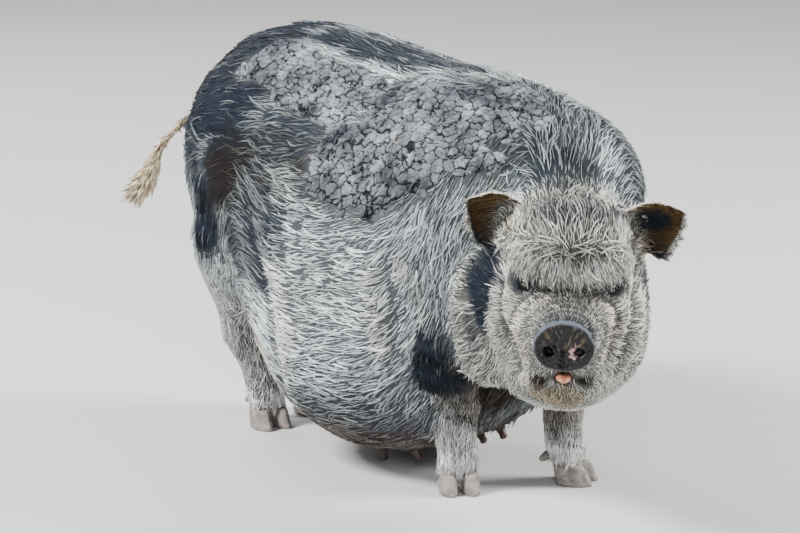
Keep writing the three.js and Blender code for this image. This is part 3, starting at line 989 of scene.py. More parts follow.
def bareness(points, part, marks):  # where no bristles grow
    local = toHead(points)
    bare = 0.97 * ease(0.4, 0.85, marks["dirt"][:, 0]) + 0.55 * marks["dirt"][:, 1]
    bare = np.maximum(bare, 0.7 * marks["marks"][:, 0] ** 2 * (part["trunk"] + part["neck"]))
    for middle in eyePlace.values():
        gap = np.linalg.norm((local - middle) / np.array([1.25, 1, 0.85]), axis=1)
        bare = np.maximum(bare, ease(23, 13, gap))
    bare = np.maximum(bare, ease(9, 5, pathGap(local, mouthLine)[0]))
    bare = np.maximum(bare, ease(-152, -158, local[:, 1]) * ease(-112, -100, local[:, 2]))
    bare = np.maximum(bare, 0.8 * marks["dirt"][:, 2])
    bare = np.maximum(bare, part["leg"] * ease(0.012, 0.006, points[:, 2]))
    underside = part["leg"] * ease(-0.3, -0.6, skinNormals[:, 2])
    bare = np.maximum(bare, underside * ease(0.12, 0.08, points[:, 2]))
    return np.clip(bare, 0, 1)


skinBare = bareness(skinPoints, skinPart, skinMarks)
bristleFaces = np.array([[0, 1, 2], [3, 2, 1], [0, 3, 1], [0, 2, 3]])  # root, left, right and tip
patchWidth = 0.003  # of a bristle on the unwrap
patchPlaces = np.array([  # of each triangle's corners in that patch
    [(0.25, 0), (0, 0.45), (0.5, 0.45)], [(0.25, 1), (0.5, 0.55), (0, 0.55)],
    [(0.55, 0), (0.55, 1), (0.75, 0.5)], [(1, 0), (0.8, 0.5), (1, 1)],
])
patchPlaces = (patchPlaces - 0.5) * patchWidth


def spaced(places, lie, side, area, wanted):  # the first places with room round them
    longWay, shortWay = (share * math.sqrt(area) for share in locks["room"])
    tree = KDTree(len(places))
    for number, place in enumerate(places):
        tree.insert(place, number)
    tree.balance()
    free, kept = np.ones(len(places), bool), []
    for number in range(len(places)):
        if free[number] and len(kept) < wanted:
            kept.append(number)
            near = np.array([found[1] for found in tree.find_range(places[number], longWay)])
            way = places[near] - places[number]
            gap = (way @ lie[number] / longWay) ** 2 + (way @ side[number] / shortWay) ** 2
            free[near[gap < 1]] = False
    return np.array(kept)


def between(low, high, draws):
    return low + (high - low) * draws


def locksOf(name, settings, seed, draw):  # where each lock grows, how it lies and what it looks like
    part = skinPart[settings["part"]]
    inside = np.all(skinPoints[:, :2] >= settings.get("low", (-9, -9)), axis=1)
    inside &= np.all(skinPoints[:, :2] <= settings.get("high", (9, 9)), axis=1)
    wanted = np.where(part > 0.03, part, 0) * inside * (1 - skinBare) * (1 + 3 * partingShare(skinPoints))
    share = wanted[skinTriangles].mean(axis=1) * triangleAreas
    clumps = int(settings["count"] / settings["clump"] * (1))
    steps = np.cumsum(share)
    tries = clumps * 3
    chosen = np.minimum(np.searchsorted(steps, draw.random(tries) * steps[-1]), len(share) - 1)
    root, turn = np.sqrt(draw.random(tries)), draw.random(tries)
    weights = np.stack([1 - root, root * (1 - turn), root * turn], axis=1)

    def at(values, corners=skinTriangles):
        return np.einsum("nk,nk...->n...", weights, values[corners[chosen]])

    place, normal = at(skinPoints), unit(at(skinNormals))
    lie = unit(across(at(skinLie), normal))
    bright = int(clumps * locks["bright"])
    kept = spaced(place, lie, np.cross(normal, lie), steps[-1] / bright, bright)
    bright = len(kept)
    kept = np.concatenate([kept, tries - 1 - np.arange(clumps - bright)])
    chosen, weights, place, normal, lie = (values[kept] for values in (chosen, weights, place, normal, lie))
    print(name, bright, "bright locks of", clumps)
    marks = {key: at(values) for key, values in skinMarks.items()}
    dark, pale = marks["marks"][:, 0].copy(), marks["marks"][:, 1]
    dull = (np.arange(clumps) >= bright) & (draw.random(clumps) > 0.9 * pale)
    sprinkled = 0.03 + 0.17 * ease(0.34, 0.45, place[:, 2])
    silver = draw.random(clumps) < sprinkled + (1 - sprinkled) * (1 - dark) ** 2
    marks["marks"][:, 0] *= np.where(silver, 0.15 + 0.5 * dark, 1)
    marks["marks"][:, 3] *= 0.55 + 0.45 * draw.random(clumps)
    swirl = 0.22 * softNoise(place, 0.06, seed + 3) + 0.16 * softNoise(place, 0.02, seed + 4)
    swirl += draw.normal(0, 0.09, clumps) * (1 + 13 * partingShare(place))
    long = settings["length"] * mm * (0.6 + 0.75 * draw.random(clumps)) * lengthShare(name, place)
    stand = np.radians(settings["stand"] * (0.4 + 1.2 * draw.random(clumps)) * standShare(name, place))
    bend = 0.3 * softNoise(place, 0.012, seed + 5) + draw.normal(0, locks["bend"], clumps)
    dullTone = between(*locks["dullTone"], draw.random(clumps))
    brightTone = between(*locks["brightTone"], draw.random(clumps))
    return {
        "place": place,
        "normal": normal,
        "lie": turned(lie, normal, swirl),
        "stand": stand * np.where(dull, locks["dullStand"], 1),
        "bend": bend,
        "long": long,
        "fine": 1 - 0.55 * dark,
        # dull locks are dark, partly as painted shade between the bright ones
        "tone": np.where(dull, dullTone, brightTone) * (1 - 0.5 * dark * silver),
        "unwrap": at(skinUnwrap, skinLoops),
        **marks,
    }


def bristlePoints(settings, lock, draw):  # root, left, right and tip of each bristle
    normal, lie, bend, long, fine = (lock[key] for key in ("normal", "lie", "bend", "long", "fine"))
    count = len(normal)
    side = np.cross(normal, lie)
    aside = draw.normal(0, settings["spread"] * mm, count) * fine
    order = np.tile(np.linspace(-1, 1, settings["clump"]), count // settings["clump"])
    behind = locks["stagger"] * order * long
    start = lock["place"] + side * (aside + 0.5 * bend * behind**2 / long)[:, None] + lie * behind[:, None]
    lie = turned(lie, normal, bend * behind / long)
    side = np.cross(normal, lie)
    long = long * (0.8 + 0.4 * draw.random(count))
    wide = settings["width"] * mm * (0.7 + 0.6 * draw.random(count)) * fine
    stand = lock["stand"] * (0.8 + 0.4 * draw.random(count))
    tipLie = turned(lie, normal, bend + draw.normal(0, 0.03, count))
    tipStand = stand * (0.1 + 0.4 * draw.random(count))
    middle = start + leant(lie, normal, stand) * (long * locks["kink"])[:, None]
    middle -= side * (locks["closing"][0] * aside)[:, None]
    tip = middle + leant(tipLie, normal, tipStand) * (long * (1 - locks["kink"]))[:, None]
    tip -= side * (locks["closing"][1] * aside)[:, None]
    for ends in (middle, tip):
        ends[:, 2] = np.maximum(ends[:, 2], locks["overFloor"])
    left, right = (middle + (side * half + normal * 0.3) * wide[:, None] for half in (-0.5, 0.5))
    return np.stack([start - normal * locks["sunk"], left, right, tip], axis=1)


def bristleMesh(name, points):
    mesh = bpy.data.meshes.new(name)
    mesh.vertices.add(points.size // 3)
    mesh.vertices.foreach_set("co", points.astype(np.float32).ravel())
    corners = (np.arange(len(points))[:, None, None] * 4 + bristleFaces[None]).astype(np.int32)
    mesh.loops.add(corners.size)
    mesh.loops.foreach_set("vertex_index", corners.ravel())
    mesh.polygons.add(corners.size // 3)
    mesh.polygons.foreach_set("loop_start", np.arange(0, corners.size, 3, dtype=np.int32))
    mesh.update(calc_edges=True)
    return mesh


def bristlesOn(name, settings, seed):  # locks of bristles that bend alike and close up towards their tips
    draw = np.random.default_rng(seed)
    grown = locksOf(name, settings, seed, draw)
    lock = {key: np.repeat(values, settings["clump"], axis=0) for key, values in grown.items()}
    mesh = bristleMesh(name, bristlePoints(settings, lock, draw))
    patch = mesh.uv_layers.new(name="OFBake")
    places = lock["unwrap"][:, None, None, :] + patchPlaces[None]
    patch.data.foreach_set("uv", np.clip(places, 0, 1).astype(np.float32).ravel())
    for key in skinMarks:
        setAttribute(mesh, key, np.repeat(lock[key], 4, axis=0))
    count = len(lock["tone"])
    strand = np.ones((count, 4, 4))
    strand[:, :, 0] = (0, 0.5, 0.5, 1)  # from root to tip
    strand[:, :, 1] = np.clip(lock["tone"] + draw.normal(0, 0.1, count), 0, 1)[:, None]
    strand[:, :, 2] = draw.random(count)[:, None]
    setAttribute(mesh, "strand", strand.reshape(-1, 4))
    mesh.shade_smooth()
    mesh.materials.append(coatMaterial)
    piece = newPiece(name, mesh)
    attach(piece, "root")
    return piece


def lengthShare(name, points):  # of the region's length, at each place
    local = toHead(points)
    height = points[:, 2]
    if name.startswith("coat_legs"):
        return 0.8 + 0.4 * ease(0.05, 0.2, height) + 1.3 * ease(0.062, 0.038, height)
    if name.startswith("coat_flank"):
        return 1 - 0.25 * ease(0.16, 0.06, height)
    if name == "coat_face":
        fringe = ease(-4, 10, local[:, 2]) * ease(44, 34, local[:, 2])
        share = 0.6 + 0.4 * ease(-138, -110, local[:, 1]) + 0.6 * fringe
        for middle in eyePlace.values():
            gap = np.linalg.norm((local - middle) / np.array([1.3, 2, 1.2]), axis=1)
            share *= 0.4 + 0.6 * ease(14, 26, gap)
        return share
    if name == "coat_tail":
        room = (np.linalg.norm(points - tailEnd, axis=1) / mm + 7) / coatRegions[name]["length"] / 1.4
        return np.minimum(0.3 + 0.7 * ease(0.4, 0.34, height), room)
    return np.ones(len(points))


def standShare(name, points):
    share = np.ones(len(points))
    if name in ("coat_head", "coat_neck"):
        share = 1 + 0.5 * ease(30, 70, toHead(points)[:, 2])
    if name.startswith("coat_legs"):
        share = 1 + 1.6 * ease(0.065, 0.045, points[:, 2])
    return share + 1.8 * partingShare(points)


def makeCoatMaterial():
    material, tree, shader = newMaterial("bristles", Roughness=0.55, Specular_IOR_Level=0.08)
    strand = attributeNode(tree, (-1200, -200), "strand").outputs["Color"]
    along, tone, yellow = splitColour(tree, (-1000, -200), strand)
    # painted shade towards the root: each bristle darkens from its middle down to the root
    along = rescale(tree, (-800, -200), along, 0.0, 0.5, 0.03, 1.0)
    tone = rescale(tree, (-800, -400), tone, 0.0, 1.0, 0.06, 1.05)
    yellow = rescale(tree, (-800, -600), yellow, 0.0, 1.0, 0.0, 0.25)
    colour = hideColour(tree, (-900, 200), coatColours)
    colour = tinted(tree, (-600, 200), colour, along)
    colour = tinted(tree, (-400, 200), colour, tone)
    colour = tinted(tree, (-200, 200), colour, (0.8, 0.62, 0.42), yellow)
    tree.links.new(colour, shader.inputs["Base Color"])
    return material


coatMaterial = makeCoatMaterial()
for number, (name, settings) in enumerate(coatRegions.items()):
    piece = bristlesOn(name, settings, 100 + 10 * number)
    print(name, len(piece.data.polygons), "triangles")

# mud: a dried crust, cracked into plates, over the back and the flanks
mudCrust = {
    "lean": (0, 0.66, -0.75),  # the way the plates are long
    "squeeze": 0.6,  # width of a plate over its length
    "plates": 13,  # size in mm
    "flakes": 6.5,
    "warp": 2.6,  # how far the cracks wander, in mm
    "under": 0.6,  # height over the skin in the cracks, in mm
    "plateHeight": (0.8, 1.0, 2.2),  # of any plate, by its own number, and by the thickness there
    "flakeHeight": (0.5, 1.0),
    "lost": 0.4,  # share of the plates gone at the border
    "edges": (2.8 * mm, 2.1 * mm, 1.95 * mm),
}


# how far from the border of its cell each point is, in cells, and the cell's own number
def cellsAt(points, size, seed):
    places = points / size
    base = np.floor(places).astype(np.int64)
    first, second, own = np.full(len(points), 9.0), np.full(len(points), 9.0), np.zeros(len(points))
    for step in np.ndindex(3, 3, 3):
        cell = base + np.array(step) - 1
        centre = cell + np.stack([cellDraw(cell, seed + k) for k in (1, 2, 3)], axis=1)
        gap = np.linalg.norm(places - centre, axis=1)
        closer = gap < first
        second = np.where(closer, first, np.minimum(second, gap))
        own = np.where(closer, cellDraw(cell, seed), own)
        first = np.where(closer, gap, first)
    return second - first, own


def crustOn(points):  # height over the skin in mm, how open each place is to the light, and its tone
    places = points / mm
    along = unit(np.array(mudCrust["lean"]))
    stray = [softNoise(places, 9, 61 + k) + 0.6 * softNoise(places, 3.5, 64 + k) for k in range(3)]
    squeeze = np.eye(3) + np.outer(along, along) * (mudCrust["squeeze"] - 1)
    squeezed = (places + mudCrust["warp"] * np.stack(stray, axis=1)) @ squeeze
    plateGap, plate = cellsAt(squeezed, mudCrust["plates"], 71)
    flakeGap, flake = cellsAt(squeezed, mudCrust["flakes"], 75)
    broken = 0.5 + 0.5 * softNoise(places, 26, 68)  # flakes show more in some places than in others
    thick = 0.5 + 0.5 * softNoise(places, 45, 69)
    plateTop = ease(0.02, 0.13, plateGap)
    flakeTop = ease(0.0, 0.2, flakeGap)
    least, own, thicker = mudCrust["plateHeight"]
    height = mudCrust["under"] + plateTop * (least + (own + thicker * thick) * plate)
    least, more = mudCrust["flakeHeight"]
    height = height + (least + more * broken) * flakeTop * (0.2 + 0.8 * flake)
    height = height + 1.2 * softNoise(squeezed, 12, 70) + 0.5 * softNoise(places, 3, 73) * plateTop
    border = ease(0.3, 0.75, muddiness(points) - 0.25 * plate)
    lost = plate < mudCrust["lost"] * (1 - border)
    height = height * border - 2.6 * (1 - border) - np.where(lost, 2.2 + height, 0) * plateTop
    deep = np.minimum(plateTop, 1 - (0.35 + 0.4 * broken) * (1 - flakeTop))
    return height, deep, (0.6 * plate + 0.4 * flake) * ease(0.36, 0.46, points[:, 2])


def makeMud():
    muddy = skinMarks["dirt"][:, 0] > 0.02
    faces = skinTriangles[muddy[skinTriangles].any(axis=1)]
    used, corners = np.unique(faces, return_inverse=True)
    mesh = bpy.data.meshes.new("mud_crust")
    mesh.from_pydata(skinPoints[used].tolist(), [], corners.reshape(-1, 3).tolist())
    for longest in mudCrust["edges"]:
        refine(mesh, longest, lambda points: muddiness(points) > 0.15)
    points = pointsOf(mesh)
    height, deep, tone = crustOn(points)
    setPoints(mesh, points + normalsOf(points, trianglesOf(mesh)[0]) * (height * mm)[:, None])
    setAttribute(mesh, "tone", tone)
    setAttribute(mesh, "open", deep)
    mesh.shade_smooth()
    return newPiece("mud_crust", mesh)


def makeMudMaterial():
    material, tree, shader = newMaterial("driedMud", Roughness=0.95, Specular_IOR_Level=0.1)
    over = overPiece(tree, (-1500, 0))
    tone = attributeNode(tree, (-1500, -300), "tone").outputs["Fac"]
    deep = attributeNode(tree, (-1500, -600), "open").outputs["Fac"]
    cloud = texture(tree, "Noise", (-1200, 0), over, Scale=20, Detail=5, Roughness=0.6).outputs[0]
    grit = texture(tree, "Noise", (-1200, -500), over, Scale=380, Detail=6, Roughness=0.8).outputs[0]
    dry = rescale(tree, (-900, 0), cloud, 0.36, 0.64)
    plate = rescale(tree, (-900, -250), tone, 0.0, 1.0, 0.5, 1.3)
    speck = rescale(tree, (-900, -500), grit, 0.3, 0.7, 0.5, 1.5)
    # painted shade in the cracks and on the plates' sides, from how open each place is to the light
    light = rescale(tree, (-900, -750), deep, 0.15, 0.9, 0.08, 1.0)
    colour = mixColours(tree, (-600, 0), dry, (0.06, 0.067, 0.082), (0.37, 0.4, 0.435))
    for step, factor in enumerate((plate, speck, light)):
        colour = tinted(tree, (-400 + 200 * step, 0), colour, factor)
    tree.links.new(colour, shader.inputs["Base Color"])
    addBumps(tree, shader, [((-300, -500), grit, 1.0, 0.003)])
    return material


mud = makeMud()
paint(mud, makeMudMaterial())
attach(mud, "root")
print("mud", len(trianglesOf(mud.data)[0]), "triangles")

# eyes
eyeBall = {"radius": lids["eyeball"] * mm, "segments": 48, "rings": 32, "cornea": 0.9 * mm}


def makeEye(side, sign):
    bpy.ops.mesh.primitive_uv_sphere_add(
        segments=eyeBall["segments"],
        ring_count=eyeBall["rings"],
        radius=eyeBall["radius"],
        location=eyeMiddle[side],
    )
    eye = bpy.context.object
    eye.name = eye.data.name = f"eyeball_{side}"
    look = Vector(lookAxes(sign)[0] @ headAxes)
    eye.rotation_euler = look.to_track_quat("Z", "Y").to_euler()
    placeInMesh(eye)
    points = pointsOf(eye.data)
    reach = points - np.array(eyeMiddle[side])
    front = (reach @ np.array(look)) / eyeBall["radius"]
    points += np.array(look) * (eyeBall["cornea"] * ease(0.72, 0.95, front))[:, None]
    setPoints(eye.data, points)
    setAttribute(eye.data, "front", front)
    eye.data.shade_smooth()
    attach(eye, "root")
    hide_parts(f"eye_{side}")
    return eye


def makeEyeMaterial():
    material, tree, shader = newMaterial("eyeGloss", Roughness=0.05, Coat_Weight=1.0, Coat_Roughness=0.02)
    front = attributeNode(tree, (-1200, 0), "front").outputs["Fac"]
    over = overPiece(tree, (-1400, -300))
    rays = texture(tree, "Noise", (-1200, -300), over, Scale=700, Detail=4).outputs[0]
    iris = rescale(tree, (-900, 0), front, 0.78, 0.82)
    pupil = rescale(tree, (-900, -200), front, 0.935, 0.95)
    brown = mixColours(tree, (-700, -300), rays, (0.012, 0.007, 0.004), (0.045, 0.026, 0.014))
    colour = mixColours(tree, (-500, 0), iris, (0.06, 0.045, 0.04), brown)
    colour = mixColours(tree, (-300, 0), pupil, colour, (0.004, 0.004, 0.005))
    tree.links.new(colour, shader.inputs["Base Color"])
    return material


eyeMaterial = makeEyeMaterial()
for side, sign in (("left", 1), ("right", -1)):
    paint(makeEye(side, sign), eyeMaterial)
print("eyes set")

# snout: a wrinkled sleeve that ends in a moist disc
snoutForm = {
    "halfWidth": 37.5,
    "halfHeight": 31,
    "segments": 200,
    "rings": 120,
    "profile": [  # degrees from the middle of the disc, share of the half width, and mm behind the middle
        (0, 0, -11.5), (30, 0.42, -11.2), (60, 0.8, -11.6), (72, 0.93, -12), (80, 0.985, -10.8),
        (88, 1, -8), (96, 0.985, -5), (104, 0.955, -2.5), (112, 0.975, 0.5), (120, 0.99, 4),
        (128, 0.965, 7.5), (136, 0.985, 12), (150, 0.8, 18), (180, 0, 18),
    ],
    "nostril": {"across": 18.5, "up": -5, "halfWidth": 6.6, "halfHeight": 6.2, "depth": 9, "rim": 0.7},
    "slit": {"path": [(23, 0, -3), (29, 0, -9), (32, 0, -15)], "depth": 1.3, "width": 1.6},
    "parting": {"depth": 1.6, "width": 1.7, "lips": 0.8},
    "dish": 1.5,
    "bumps": ((1.4, 8, 81), (1, 3.4, 82), (0.6, 1.7, 86)),  # height, size and seed
}
snoutMiddle = toHead(np.array(middleOf("snout")))


def makeSnout():
    segments, rings = snoutForm["segments"], snoutForm["rings"]
    bpy.ops.mesh.primitive_uv_sphere_add(segments=segments, ring_count=rings, radius=1)
    snout = bpy.context.object
    snout.name = snout.data.name = "snout_disc"
    points = pointsOf(snout.data)
    angle = np.degrees(np.arccos(np.clip(points[:, 2], -1, 1)))
    turn = np.arctan2(points[:, 1], points[:, 0])
    turnX, turnZ = np.cos(turn), np.sin(turn)
    steps, radii, depths = zip(*snoutForm["profile"])
    radius, depth = np.interp(angle, steps, radii), np.interp(angle, steps, depths)
    upper = ease(-0.5, 0.6, turnZ)
    x = snoutForm["halfWidth"] * radius * turnX
    z = snoutForm["halfHeight"] * radius * turnZ * (1 - 0.06 * ease(-0.55, -1, turnZ))
    local = triples(x, depth, z)
    onFace = ease(84, 66, angle)
    nostril, slit, parting = snoutForm["nostril"], snoutForm["slit"], snoutForm["parting"]
    push = np.zeros(len(local))
    for sign in (1, -1):
        outwards = sign * x - nostril["across"]
        upwards = z - nostril["up"] - 0.25 * outwards
        reach = np.hypot(outwards / nostril["halfWidth"], upwards / nostril["halfHeight"])
        reach = reach + 0.2 * softNoise(local, 4, 87)
        sunk = nostril["depth"] * ease(1.12, 0.55, reach)
        push += onFace * (sunk - nostril["rim"] * hump(reach, 1.42, 0.3))
        path = np.array(slit["path"]) * (sign, 1, 1)
        push -= onFace * fold(triples(x, 0.0, z), path, slit["depth"], slit["width"])
    push += onFace * parting["depth"] * hump(x, 0, parting["width"]) * ease(4, -4, z)
    push -= onFace * parting["lips"] * hump(np.abs(x), 5, 2.4) * ease(2, -6, z)
    push += onFace * sum(height * softNoise(local, size, seed) for height, size, seed in snoutForm["bumps"])
    local[:, 1] += push + onFace * snoutForm["dish"] * hump(np.hypot(x, z - 6), 0, 14)
    radial = softNoise(triples(turnX * 30, turnZ * 30, depth / 6), 1.7, 83)
    uneven = 0.8 * radial * upper * ease(92, 100, angle) + 0.9 * softNoise(local, 6, 84)
    grow = 1 + uneven * ease(60, 76, angle) / 34
    local[:, 0] *= grow
    local[:, 2] *= grow
    local = local + snoutMiddle
    setPoints(snout.data, fromHead(local))
    shape = bmesh.new()
    shape.from_mesh(snout.data)
    bmesh.ops.recalc_face_normals(shape, faces=shape.faces)
    shape.to_mesh(snout.data)
    shape.free()
    pinkReach = np.hypot((x - 13) / 5, (z + 5) / 9) - 0.7 * softNoise(local, 3.5, 85)
    streaks = softNoise(triples(np.arctan2(x, z + 14) * 16, np.hypot(x, z + 14) / 7, 0.0), 1, 88)
    fan = ease(0.05, 0.5, streaks) * ease(-9, 2, z) * ease(30, 18, np.abs(x)) * onFace
    setAttribute(snout.data, "fan", fan)
    setAttribute(snout.data, "pink", ease(1.05, 0.55, pinkReach) * onFace)
    setAttribute(snout.data, "sleeve", ease(70, 92, angle) * (0.35 + 0.65 * upper))
    # painted shade in the nostrils and the other sunk places of the disc
    setAttribute(snout.data, "hollowShade", ease(1, 8, push))
    snout.data.shade_smooth()
    return snout


snoutTints = {  # laid over the plain dark skin in turn
    "fan": (0.075, 0.055, 0.035),
    "sleeve": (0.085, 0.1, 0.125),
    "pink": (0.4, 0.24, 0.25),
    # painted shade in the sunk places
    "hollowShade": (0.005, 0.004, 0.004),
}


def makeSnoutMaterial():
    material, tree, shader = newMaterial("snoutHide", Roughness=0.4, Specular_IOR_Level=0.28)
    over = overPiece(tree, (-1600, 0))
    cells = crackTexture(tree, (-1300, 0), over, Scale=330)
    cloud = texture(tree, "Noise", (-1300, -250), over, Scale=110, Detail=5, Roughness=0.65).outputs[0]
    tone = rescale(tree, (-1000, -250), cloud, 0.35, 0.65)
    colour = mixColours(tree, (-1000, 0), tone, (0.001, 0.001, 0.002), (0.008, 0.007, 0.008))
    for step, (name, tint) in enumerate(snoutTints.items()):
        share = attributeNode(tree, (-1600, -200 - 200 * step), name).outputs["Fac"]
        colour = mixColours(tree, (-800 + 200 * step, 0), share, colour, tint)
    tree.links.new(colour, shader.inputs["Base Color"])
    gloss = rescale(tree, (-600, -400), cloud, 0.35, 0.65, 0.2, 0.5)
    tree.links.new(gloss, shader.inputs["Roughness"])
    addBumps(tree, shader, [((-500, -500), cloud, 0.5, 0.0012), ((-300, -500), cells, 0.7, 0.0007)])
    return material


snout = makeSnout()
paint(snout, makeSnoutMaterial())
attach(snout, "root")
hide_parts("snout")
print("snout set")

# tongue
tongueForm = {"voxel": 0.9 * mm, "rounds": 8, "groove": 1.1, "shrink": 0.4}


def makeTongue():
    tongue = copyOf(["tongue"], "tongue_tip")
    applyModifier(tongue, "REMESH", mode="VOXEL", voxel_size=tongueForm["voxel"])
    points, edges = pointsOf(tongue.data), edgesOf(tongue.data)
    triangles, _ = trianglesOf(tongue.data)
    points = relax(points, edges, tongueForm["rounds"], np.full(len(points), 0.5))
    local = toHead(points)
    normals = normalsOf(points, triangles)
    middle = local.mean(axis=0)
    push = -tongueForm["groove"] * hump(local[:, 0], middle[0], 2) * ease(0.2, 0.8, normals[:, 2])
    push += 0.25 * softNoise(local, 2.2, 91) - tongueForm["shrink"]
    setPoints(tongue.data, points + normals * (push * mm)[:, None])
    tongue.data.shade_smooth()
    return tongue


def makeTongueMaterial():
    radius = (0.004, 0.0015, 0.001)
    material, tree, shader = newMaterial(
        "tongueFlesh", Roughness=0.32, Subsurface_Weight=0.25, Subsurface_Radius=radius, Coat_Weight=0.3
    )
    over = overPiece(tree, (-1200, 0))
    buds = texture(tree, "Noise", (-1000, 0), over, Scale=900, Detail=3).outputs[0]
    colour = mixColours(tree, (-600, 0), buds, (0.3, 0.1, 0.055), (0.55, 0.24, 0.15))
    tree.links.new(colour, shader.inputs["Base Color"])
    addBumps(tree, shader, [((-400, -300), buds, 0.4, 0.0004)])
    return material


tongue = makeTongue()
paint(tongue, makeTongueMaterial())
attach(tongue, "root")
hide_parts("tongue")
print("tongue set")

# hooves and dewclaws
hoofForm = {
    "hoof": {"voxel": 1.5 * mm, "rounds": 6},
    "dewclaw": {"voxel": 1 * mm, "rounds": 4},
    "growthRings": 2.6,
    "ringHeight": 0.32,
    "uneven": 0.5,
    "chip": 0.5,
    "sole": 0.9 * mm,  # what lies lower is the flat sole
}


def makeHorn(nodes, name, voxel, rounds):
    horn = copyOf(nodes, name)
    applyModifier(horn, "REMESH", mode="VOXEL", voxel_size=voxel)
    points, edges = pointsOf(horn.data), edgesOf(horn.data)
    triangles, _ = trianglesOf(horn.data)
    flat = points[:, 2] < hoofForm["sole"]
    points = relax(points, edges, rounds, np.where(flat, 0.15, 0.5))
    normals = normalsOf(points, triangles)
    places = points / mm
    wall = 1 - np.abs(normals[:, 2])
    ring = np.sin(2 * np.pi * (places[:, 2] + 0.8 * softNoise(places, 9, 95)) / hoofForm["growthRings"])
    push = wall * (hoofForm["ringHeight"] * ring + hoofForm["uneven"] * softNoise(places, 5, 96))
    push -= hoofForm["chip"] * ease(0.3, 0.7, softNoise(places, 4, 97)) * ease(5, 0, places[:, 2])
    points = points + normals * (push * mm)[:, None]
    points[:, 2] = np.where(flat, np.clip(points[:, 2], 0, 0.2 * mm), np.maximum(points[:, 2], 0))
    setPoints(horn.data, points)
    horn.data.shade_smooth()
    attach(horn, "root")
    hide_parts(*nodes)
    return horn


def makeHornMaterial():
    material, tree, shader = newMaterial("hoofHorn", Roughness=0.5)
    over = overPiece(tree, (-1600, 0))
    stretch = newNode(tree, "ShaderNodeMapping", (-1400, 0), Scale=(1, 1, 0.16))
    tree.links.new(over, stretch.inputs["Vector"])
    lengthwise = stretch.outputs[0]
    fibre = texture(tree, "Noise", (-1200, 0), lengthwise, Scale=520, Detail=4, Roughness=0.6).outputs[0]
    dirt = texture(tree, "Noise", (-1200, -300), over, Scale=85, Detail=4).outputs[0]
    soil = rescale(tree, (-1000, -300), dirt, 0.45, 0.62, 0.0, 0.7)
    colour = mixColours(tree, (-800, 0), fibre, (0.14, 0.12, 0.11), (0.34, 0.29, 0.265))
    colour = mixColours(tree, (-600, 0), soil, colour, (0.09, 0.085, 0.08))
    tree.links.new(colour, shader.inputs["Base Color"])
    gloss = rescale(tree, (-600, -300), dirt, 0.4, 0.65, 0.42, 0.8)
    tree.links.new(gloss, shader.inputs["Roughness"])
    addBumps(tree, shader, [((-300, -300), fibre, 0.4, 0.0005)])
    return material


hornMaterial = makeHornMaterial()
for kind, name in (("hoof", "hooves"), ("dewclaw", "dewclaws")):
    nodes = [f"{kind}_{leg}_{toe}" for leg in legNames for toe in ("outer", "inner")]
    paint(makeHorn(nodes, name, **hoofForm[kind]), hornMaterial)
print("hooves set")

# teats, in two rows under the belly
teatForm = {
    "places": (165, 110, 45, -35, -95, -140),  # mm along the trunk
    "shift": 16.1 * mm,  # from the middle of the trunk's rings to the middle of her box
    "start": 200,
    "lean": 0.36,
    "length": 13,
    "radius": 5.2,
    "profile": (  # shares of the length and of the radius
        (0, 0.12, 0.3, 0.62, 0.85, 0.96, 1),
        (0, 1.5, 1.15, 0.95, 1.05, 0.7, 0),
    ),
    "inside": 3,
    "sag": 2 * mm,
}


def makeTeats():
    tree = BVHTree.FromPolygons([Vector(point) for point in skinPoints], skinTriangles.tolist())
    parts = []
    for place in teatForm["places"]:
        for sign in (1, -1):
            out = Vector((sign * teatForm["lean"], 0, -1)).normalized()
            start = Vector((0, place * mm + teatForm["shift"], teatForm["start"] * mm))
            root, normal = tree.ray_cast(start, out)[:2]
            bpy.ops.mesh.primitive_uv_sphere_add(segments=20, ring_count=16, radius=1)
            teat = bpy.context.object
            points = pointsOf(teat.data)
            height = (points[:, 2] + 1) / 2
            swell = np.interp(height, *teatForm["profile"])
            flat = unit(points[:, :2]) * (swell * teatForm["radius"])[:, None]
            long = height * (teatForm["length"] + teatForm["inside"]) - teatForm["inside"]
            turn = np.array(normal.to_track_quat("Z", "Y").to_matrix())
            shape = (triples(flat[:, 0], flat[:, 1], long) * mm) @ turn.T
            shape[:, 2] -= teatForm["sag"] * np.clip(height, 0, 1) ** 2
            setPoints(teat.data, shape + np.array(root))
            setAttribute(teat.data, "height", height)
            teat.data.shade_smooth()
            parts.append(teat)
    return joined(parts, "teats")


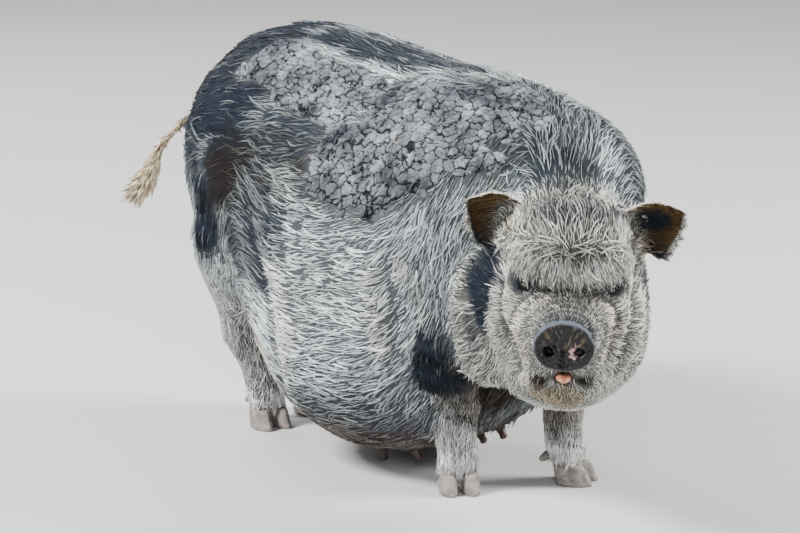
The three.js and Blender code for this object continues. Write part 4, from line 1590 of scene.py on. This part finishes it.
def makeTeatMaterial():
    material, tree, shader = newMaterial("teatHide", Roughness=0.5, Subsurface_Weight=0.08)
    height = attributeNode(tree, (-1200, -400), "height").outputs["Fac"]
    over = overPiece(tree, (-1200, 0))
    rings = texture(tree, "Noise", (-1000, 0), over, Scale=420, Detail=4).outputs[0]
    colour = mixColours(tree, (-700, 0), rings, (0.016, 0.011, 0.01), (0.05, 0.028, 0.022))
    tip = rescale(tree, (-900, -400), height, 0.0, 0.35)
    colour = mixColours(tree, (-500, 0), tip, (0.07, 0.042, 0.033), colour)
    tree.links.new(colour, shader.inputs["Base Color"])
    addBumps(tree, shader, [((-400, -300), rings, 0.5, 0.0006)])
    return material


teats = makeTeats()
paint(teats, makeTeatMaterial())
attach(teats, "root")
print("teats set")

# floor, light and camera
bpy.ops.mesh.primitive_plane_add(size=12, location=(0, 0, 0))
floor = bpy.context.object
floor.name = "floor"
paint(floor, newMaterial("paleFloor", Base_Color=(0.5, 0.5, 0.505, 1), Roughness=0.9)[0])

cameraPlace = {"eye": (-3.4635, -3.572, 1.409), "tilt": 13, "turn": 44, "lens": 171}
bpy.ops.object.camera_add(
    location=cameraPlace["eye"],
    rotation=(math.radians(90 - cameraPlace["tilt"]), 0, math.radians(-cameraPlace["turn"])),
)
camera = bpy.context.object
camera.data.lens = cameraPlace["lens"]
bpy.context.scene.camera = camera

studioLights = {  # place, power, width and colour
    "key": ((-2.7, 1.3, 3.0), 460, 1.1, (1.0, 0.99, 0.97)),
    "fill": ((-2.6, -3.4, 2.2), 120, 2.0, (0.97, 0.985, 1.0)),
    "side": ((2.6, -2.2, 2.4), 360, 1.4, (1.0, 0.985, 0.95)),
    "rim": ((0.9, 3.2, 2.4), 90, 1.4, (1.0, 0.98, 0.95)),
}
for name, (place, power, width, colour) in studioLights.items():
    bpy.ops.object.light_add(type="AREA", location=place)
    light = bpy.context.object
    light.name = name
    light.data.energy = power
    light.data.size = width
    light.data.color = colour
    light.rotation_euler = (Vector((0, 0, 0.3)) - light.location).to_track_quat("-Z", "Y").to_euler()
world = bpy.data.worlds.new("studio")
bpy.context.scene.world = world
world.use_nodes = True
world.node_tree.nodes["Background"].inputs["Color"].default_value = (0.93, 0.96, 1.0, 1)
world.node_tree.nodes["Background"].inputs["Strength"].default_value = 0.3
